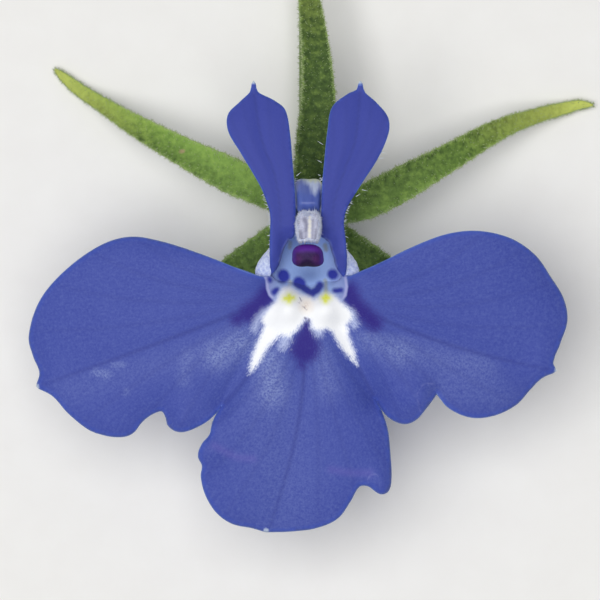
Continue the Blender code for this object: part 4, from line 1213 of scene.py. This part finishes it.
draw = np.random.default_rng(37)
widths = smooth_run(SEPAL_HALF_WIDTHS, 0.02)
for name, light, tip_light, breadth, base_breadth, route in SEPALS:
    line = smooth_run(route, 0.1)
    line[:, 2] = np.maximum(line[:, 2], SEPAL_LOWEST)
    turns = np.linspace(0, 2 * math.pi, SEPAL_SIDES, endpoint=False)
    across, thick = np.cos(turns), np.sin(turns)
    points, lights, tips, midribs, margins = [], [], [], [], []
    roots, reaches = [], []
    steps = len(line) - 1
    for number, (middle, forward) in enumerate(zip(line, directions(line))):
        v = number / steps
        side = np.array((forward[1], -forward[0], 0))
        side /= np.linalg.norm(side)
        up = np.cross(side, forward)
        half = breadth * np.interp(v, widths[:, 0], widths[:, 1])
        half *= base_breadth + (1 - base_breadth) * min(1, v / SEPAL_BASE_SHARE)
        half *= 1 + SEPAL_RIPPLE * math.sin(number * 1.3) * (v < 0.95)
        channel = 0.0
        if v < SEPAL_CHANNEL_END:
            channel = SEPAL_CHANNEL * math.sin(math.pi * min(1, v / SEPAL_CHANNEL_END))
        depth = SEPAL_THICKNESS / 2 * (1 - SEPAL_THINNING * v)
        keel = 1 + SEPAL_KEEL * (thick < 0) * (abs(across) < SEPAL_KEEL_SHARE)
        lift = channel * (across**2 - 0.25) + depth * thick * keel
        points.append(middle + np.outer(across * half, side) + np.outer(lift, up))
        # Painted light: each sepal is painted lighter by how lit it is, and lighter down one side
        sunny = light * (1 - 0.4 * v) + 0.35 * across * (1 if name == "left_sepal" else 0.3)
        lights.append(np.clip(sunny, 0, 1))
        tips.append(np.full(SEPAL_SIDES, tip_light * max(0, (v - 0.45) / 0.55) ** 1.5))
        midribs.append(bell(across, 0.14) * (thick < 0))
        margins.append(np.clip((abs(across) - 0.75) / 0.25, 0, 1))
        for _ in range(HAIRS_A_RING):
            turn = draw.uniform(0, 2 * math.pi)
            if draw.random() < EDGE_HAIR_SHARE:
                turn = draw.choice((0, math.pi)) + draw.normal(0, 0.3)
            c, t = math.cos(turn), math.sin(turn)
            root = middle + side * c * half * 0.97 + up * (channel * (c**2 - 0.25) + depth * t * 0.9)
            root = root + forward * draw.uniform(-0.05, 0.05)
            out = side * c + up * t * 0.8 + forward * draw.uniform(-0.1, 0.5)
            length = draw.uniform(*CALYX_HAIR_LENGTHS) * (1 - 0.35 * v)
            if v > 0.04 and root[2] > 0.1:
                roots.append(root)
                reaches.append(out / np.linalg.norm(out) * length + draw.normal(0, 0.015, 3))
    points = np.concatenate(points)
    faces = ring_faces(len(line), SEPAL_SIDES, capped=True)
    points[:, 2] = np.maximum(points[:, 2], 0.0)
    fields = {
        "light": np.concatenate(lights), "tipward": np.concatenate(tips),
        "midrib": np.concatenate(midribs), "margin": np.concatenate(margins),
        "scar": spot_depth(points[:, :2], SCAR),
    }
    sepal = make_piece(name, points, faces, fields, leaf_skin)
    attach(sepal, "root")
    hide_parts("calyx")
    hair = hair_piece(name + "_hairs", roots, reaches, 0.012, CALYX_HAIR_RADIUS, calyx_hair)
    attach(hair, "root")

# ---- Stalk ----
# The thin green stalk that the bloom was picked by. It bends down under the calyx and lies along the
# surface to its cut end, which shows its pale pith.

STALK_ROUTE = (
    (2.29, 1.02), (2.48, 0.66), (2.90, 0.40), (3.50, 0.31), (4.60, 0.30), (6.20, 0.30), (7.80, 0.30),
    (9.00, 0.30),
)
STALK_RADIUS = 0.29
STALK_SIDES = 48
STALK_RIBS = 6
STALK_RIB_DEPTH = 0.08
STALK_HAIRS = 420
STALK_HAIR_TURN = 2.2
STALK_HAIR_LENGTHS = (0.06, 0.12)

# Stalk skin: ribbed green tissue, with pale pith at the cut.
stalk_skin = streaked_tissue(
    "ribbed stalk skin", (7000.0, 700.0, 7000.0), ("#4F6632", "#86A054"), 0.0, (0.5, 0.00005), 0.55, (
        ("cut", 0.00, 1.00, 0.00, 1.00, "#C9D3A4"),
    )
)

route = smooth_run(STALK_ROUTE, 0.12)
radii = np.full(len(route), STALK_RADIUS)
points, faces = wrapped_cord(route, radii, radii, STALK_SIDES, STALK_RIBS, STALK_RIB_DEPTH)
points[:, 0] -= COLUMN_X
cut_end = np.zeros(len(points))
cut_end[-STALK_SIDES:] = 1.0
stalk = make_piece("stalk", points, faces, {"cut": cut_end}, stalk_skin)
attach(stalk, "root")
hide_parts("pedicel")

draw = np.random.default_rng(41)
roots, reaches = [], []
for _ in range(STALK_HAIRS):
    y, z = route[draw.integers(0, len(route))]
    turn = draw.uniform(-STALK_HAIR_TURN, STALK_HAIR_TURN)
    out = np.array((math.sin(turn), draw.normal(0, 0.25), math.cos(turn)))
    roots.append(np.array((0, y + draw.uniform(-0.06, 0.06), z)) + out * (1, 0, 1) * STALK_RADIUS * 0.92)
    reaches.append(out * draw.uniform(*STALK_HAIR_LENGTHS))
stalk_hairs = hair_piece("stalk_hairs", roots, reaches, 0.01, CALYX_HAIR_RADIUS, calyx_hair)
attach(stalk_hairs, "root")

# ---- Surface, light and camera ----
# The bloom lies on a plain pale surface under one wide soft lamp. The camera looks straight down on it.

BOARD = 0.6

# Matt uncoated board: pale, with hardly visible fibres.
paper = mottled("pale matt board", 900.0, 4.0, "#EBE9E5", "#F1F0EC", 0.85)
board_mesh = bpy.data.meshes.new("board")
board_corners = [(-BOARD, -BOARD, 0), (BOARD, -BOARD, 0), (BOARD, BOARD, 0), (-BOARD, BOARD, 0)]
board_mesh.from_pydata(board_corners, [], [(0, 1, 2, 3)])
board_mesh.materials.append(paper)
board = bpy.data.objects.new("board", board_mesh)
bpy.context.scene.collection.objects.link(board)

lamp = bpy.data.lights.new("wide lamp", "AREA")
lamp.size = 0.35
lamp.energy = 2.0
lamp_holder = bpy.data.objects.new("wide lamp", lamp)
lamp_holder.location = (-0.08, -0.01, 0.48)
lamp_holder.rotation_euler = (-lamp_holder.location).to_track_quat("-Z", "Y").to_euler()
bpy.context.scene.collection.objects.link(lamp_holder)

sky = bpy.data.worlds.new("soft room light")
sky.use_nodes = True
sky.node_tree.nodes["Background"].inputs["Color"].default_value = tint("#F4F6FA")
sky.node_tree.nodes["Background"].inputs["Strength"].default_value = 0.31
bpy.context.scene.world = sky
bpy.context.scene.view_settings.view_transform = "Standard"

VIEW_WIDTH = 20.0
VIEW_MIDDLE = (-0.243, -1.167)
VIEW_DISTANCE = 300.0
eye = bpy.data.cameras.new("camera")
eye.sensor_width = 36
eye.lens = eye.sensor_width * VIEW_DISTANCE / VIEW_WIDTH
eye.clip_start = 0.01
eye.clip_end = 5
camera = bpy.data.objects.new("camera", eye)
camera.location = on_bloom((*VIEW_MIDDLE, LIP_HEIGHT + VIEW_DISTANCE))
bpy.context.scene.collection.objects.link(camera)
bpy.context.scene.camera = camera
